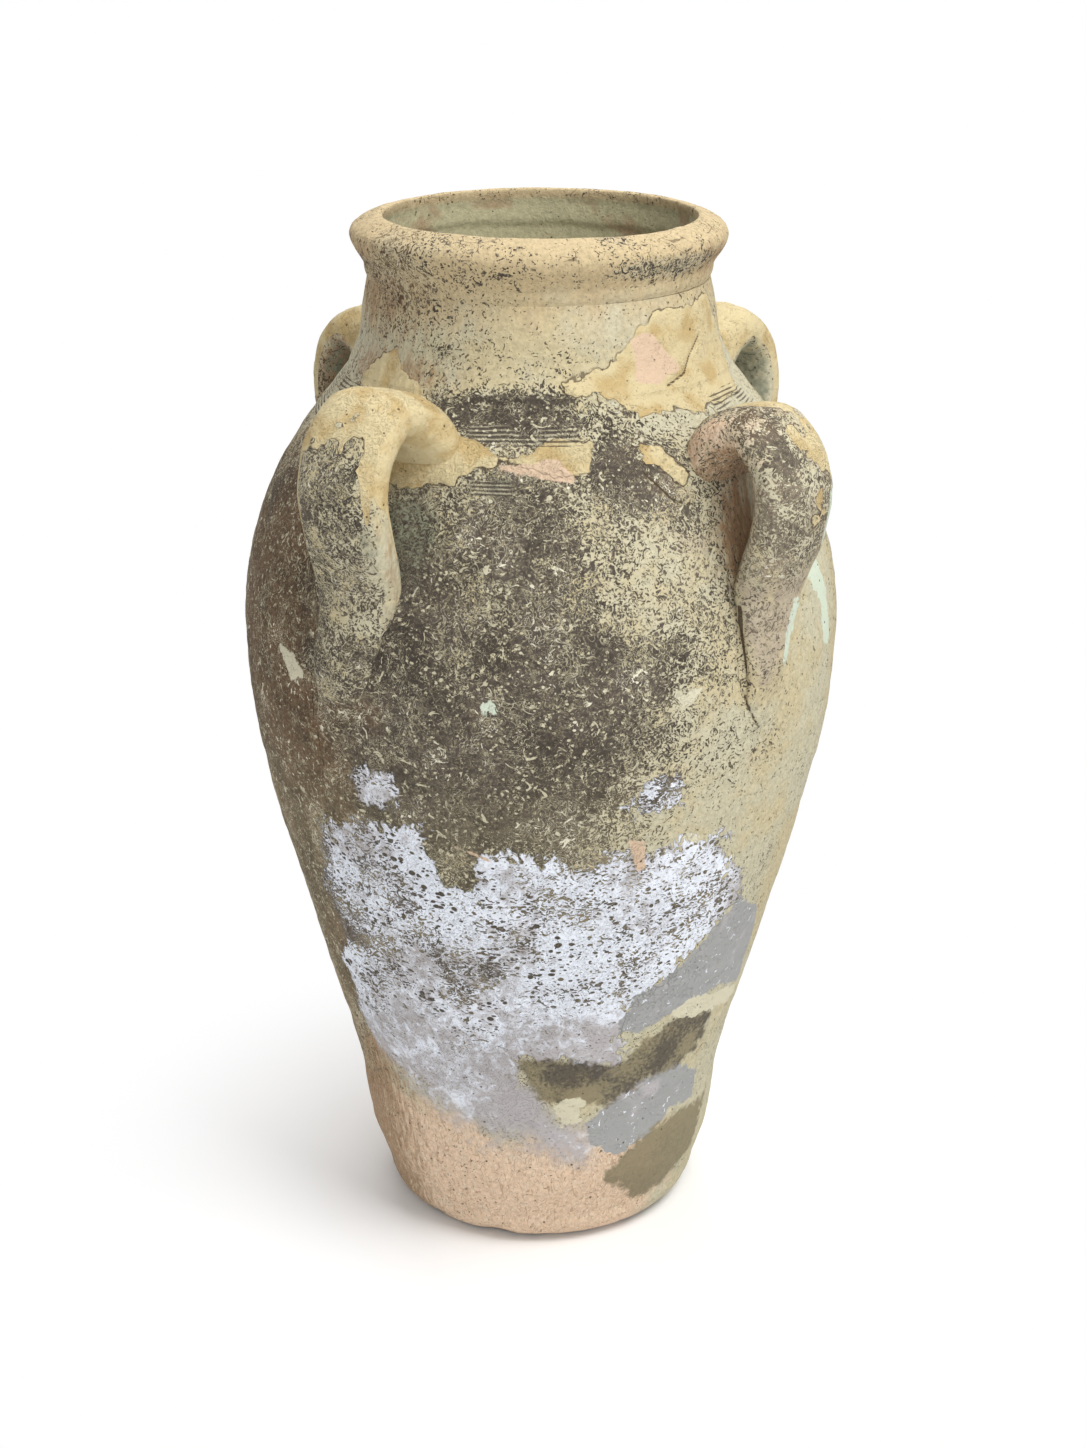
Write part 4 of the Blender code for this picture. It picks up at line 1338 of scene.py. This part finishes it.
# Stage: camera place and lens, the floor's rings and where it fades out, and the room light's strength
CAMERA_REACH = 1.290
CAMERA_HEIGHT = 0.797
CAMERA_PITCH = math.radians(21.21)
FRAME_HEIGHT_PX = 1448
FOCAL_PX = 2366
SENSOR = 36.0
AXIS_LEFT_PX = 3
FLOOR_RADII = (0.05, 0.2, 0.5, 1.2, 2.5, 5.0)
FLOOR_FADE = (0.10, 0.31)
ROOM_LIGHT = 0.50
WHITE = (1.0, 1.0, 1.0, 1.0)

# Lamps: azimuth, elevation, distance, size and watts
LAMPS = {
    "key_lamp": (45, 58, 2.2, 1.0, 38),
    "fill_lamp": (5, 20, 2.6, 1.8, 16),
    "back_lamp": (190, 62, 2.2, 1.4, 22),
}


def stage_camera():
    """Camera at the photograph's height, pitch and distance, with the jar's axis just left of the middle."""
    lens = bpy.data.cameras.new("camera")
    lens.sensor_fit = "VERTICAL"
    lens.sensor_height = SENSOR
    lens.lens = SENSOR * FOCAL_PX / FRAME_HEIGHT_PX
    lens.shift_x = AXIS_LEFT_PX / FRAME_HEIGHT_PX
    camera = placed("camera", lens)
    camera.location = polar(CAMERA_REACH, FRONT, CAMERA_HEIGHT)
    camera.rotation_euler = (math.pi / 2 - CAMERA_PITCH, 0, FRONT + math.pi / 2)
    bpy.context.scene.camera = camera


def soft_lamp(name, azimuth, elevation, distance, size, watts):
    """Square area lamp that looks at the jar's middle from an azimuth right of the front."""
    lamp = bpy.data.lights.new(name, "AREA")
    lamp.size = size
    lamp.energy = watts
    obj = placed(name, lamp)
    tilt = math.radians(elevation)
    aim = Vector(polar(math.cos(tilt), FRONT + math.radians(azimuth), math.sin(tilt)))
    obj.location = aim * distance + Vector((0, 0, 0.3))
    obj.rotation_euler = aim.to_track_quat("Z", "Y").to_euler()


def seen_directly(tree):
    """1 for rays from the camera, a mirror or a lens, which see the background as plain white."""
    rays = tree.nodes.new("ShaderNodeLightPath").outputs
    seen = calc(tree, "MAXIMUM", rays["Is Camera Ray"], rays["Is Glossy Ray"])
    return calc(tree, "MAXIMUM", seen, rays["Is Transmission Ray"])


def studio_world(strength):
    """Even white room light, which the camera sees at strength 1."""
    world = bpy.data.worlds.new("studio_world")
    tree = node_tree(world)
    sockets = {"Value": seen_directly(tree), "To Min": strength, "To Max": 1.0}
    background = tree.nodes["Background"]
    background.inputs["Color"].default_value = WHITE
    tree.links.new(add(tree, "ShaderNodeMapRange", sockets), background.inputs["Strength"])
    bpy.context.scene.world = world


def floor_paper():
    """Matt white paper that keeps the jar's shadow, and away from it fades into the white background."""
    material = bpy.data.materials.new("matt_white_paper")
    tree = node_tree(material)
    shader = tree.nodes["Principled BSDF"]
    shader.inputs["Base Color"].default_value = (*linear("#F6F6F6"), 1.0)
    shader.inputs["Roughness"].default_value = 1.0
    place = add(tree, "ShaderNodeTexCoord", out="Object")
    away = add(tree, "ShaderNodeVectorMath", {0: place}, out="Value", operation="LENGTH")
    sockets = {"Value": away, "From Min": FLOOR_FADE[0], "From Max": FLOOR_FADE[1]}
    far = add(tree, "ShaderNodeMapRange", sockets, interpolation_type="SMOOTHSTEP")
    share = calc(tree, "MULTIPLY", far, seen_directly(tree))
    glow = add(tree, "ShaderNodeEmission", {"Color": WHITE, "Strength": 1.0})
    both = add(tree, "ShaderNodeMixShader", {0: share, 1: shader.outputs[0], 2: glow})
    tree.links.new(both, tree.nodes["Material Output"].inputs["Surface"])
    return material


def floor_sheet():
    """Flat round floor: rings of points at growing radii round the jar."""
    turns = np.linspace(0, 2 * math.pi, 96, endpoint=False)
    points = polar(np.array(FLOOR_RADII)[:, None], turns, 0).reshape(-1, 3)
    index = np.arange(len(points)).reshape(len(FLOOR_RADII), -1)
    following = np.roll(index, -1, axis=1)
    faces = np.stack([index[:-1], index[1:], following[1:], following[:-1]], -1).reshape(-1, 4)
    mesh = bpy.data.meshes.new("floor")
    mesh.from_pydata(points.tolist(), [], faces.tolist() + [index[0].tolist()])
    mesh.materials.append(floor_paper())
    floor = placed("floor", mesh)


class JAR_OT_stage(bpy.types.Operator):
    """Set up the pale floor, the soft studio light and the camera"""

    bl_idname = "jar.stage"
    bl_label = "Stage"

    def execute(self, context):
        stage_camera()
        floor_sheet()
        studio_world(ROOM_LIGHT)
        for name, lamp in LAMPS.items():
            soft_lamp(name, *lamp)
        context.scene.view_settings.view_transform = "Standard"
        return {"FINISHED"}


class JAR_PT_pieces(bpy.types.Panel):
    """Lists the jar's sizes, colours and pieces"""

    bl_label = "Four-Handled Jar"
    bl_space_type = "VIEW_3D"
    bl_region_type = "UI"
    bl_category = "Jar"

    def draw(self, context):
        column = self.layout.column()
        for group in (context.scene.jar_sizes, context.scene.strap_sizes, context.scene.clay_colours):
            for name in type(group).__annotations__:
                column.prop(group, name)
        for operator in PIECE_OPERATORS:
            column.operator(operator.bl_idname)


PIECE_OPERATORS = (
    JAR_OT_stage,
    JAR_OT_floor_disc,
    JAR_OT_wall_sections,
    JAR_OT_neck,
    JAR_OT_rim_band,
    JAR_OT_strap_handles,
)
GROUPS = {"jar_sizes": JarSizes, "strap_sizes": StrapSizes, "clay_colours": ClayColours}


def register():
    for group in GROUPS.values():
        bpy.utils.register_class(group)
    for name, group in GROUPS.items():
        setattr(bpy.types.Scene, name, PointerProperty(type=group))
    for kind in (*PIECE_OPERATORS, JAR_PT_pieces):
        bpy.utils.register_class(kind)


def unregister():
    for kind in (JAR_PT_pieces, *reversed(PIECE_OPERATORS)):
        bpy.utils.unregister_class(kind)
    for name, group in GROUPS.items():
        delattr(bpy.types.Scene, name)
        bpy.utils.unregister_class(group)


def main():
    """Build the stage and every piece."""
    register()
    bpy.ops.jar.stage()
    bpy.ops.jar.floor_disc()
    bpy.ops.jar.wall_sections()
    bpy.ops.jar.neck()
    bpy.ops.jar.rim_band()
    bpy.ops.jar.strap_handles()


if __name__ == "__main__":
    main()
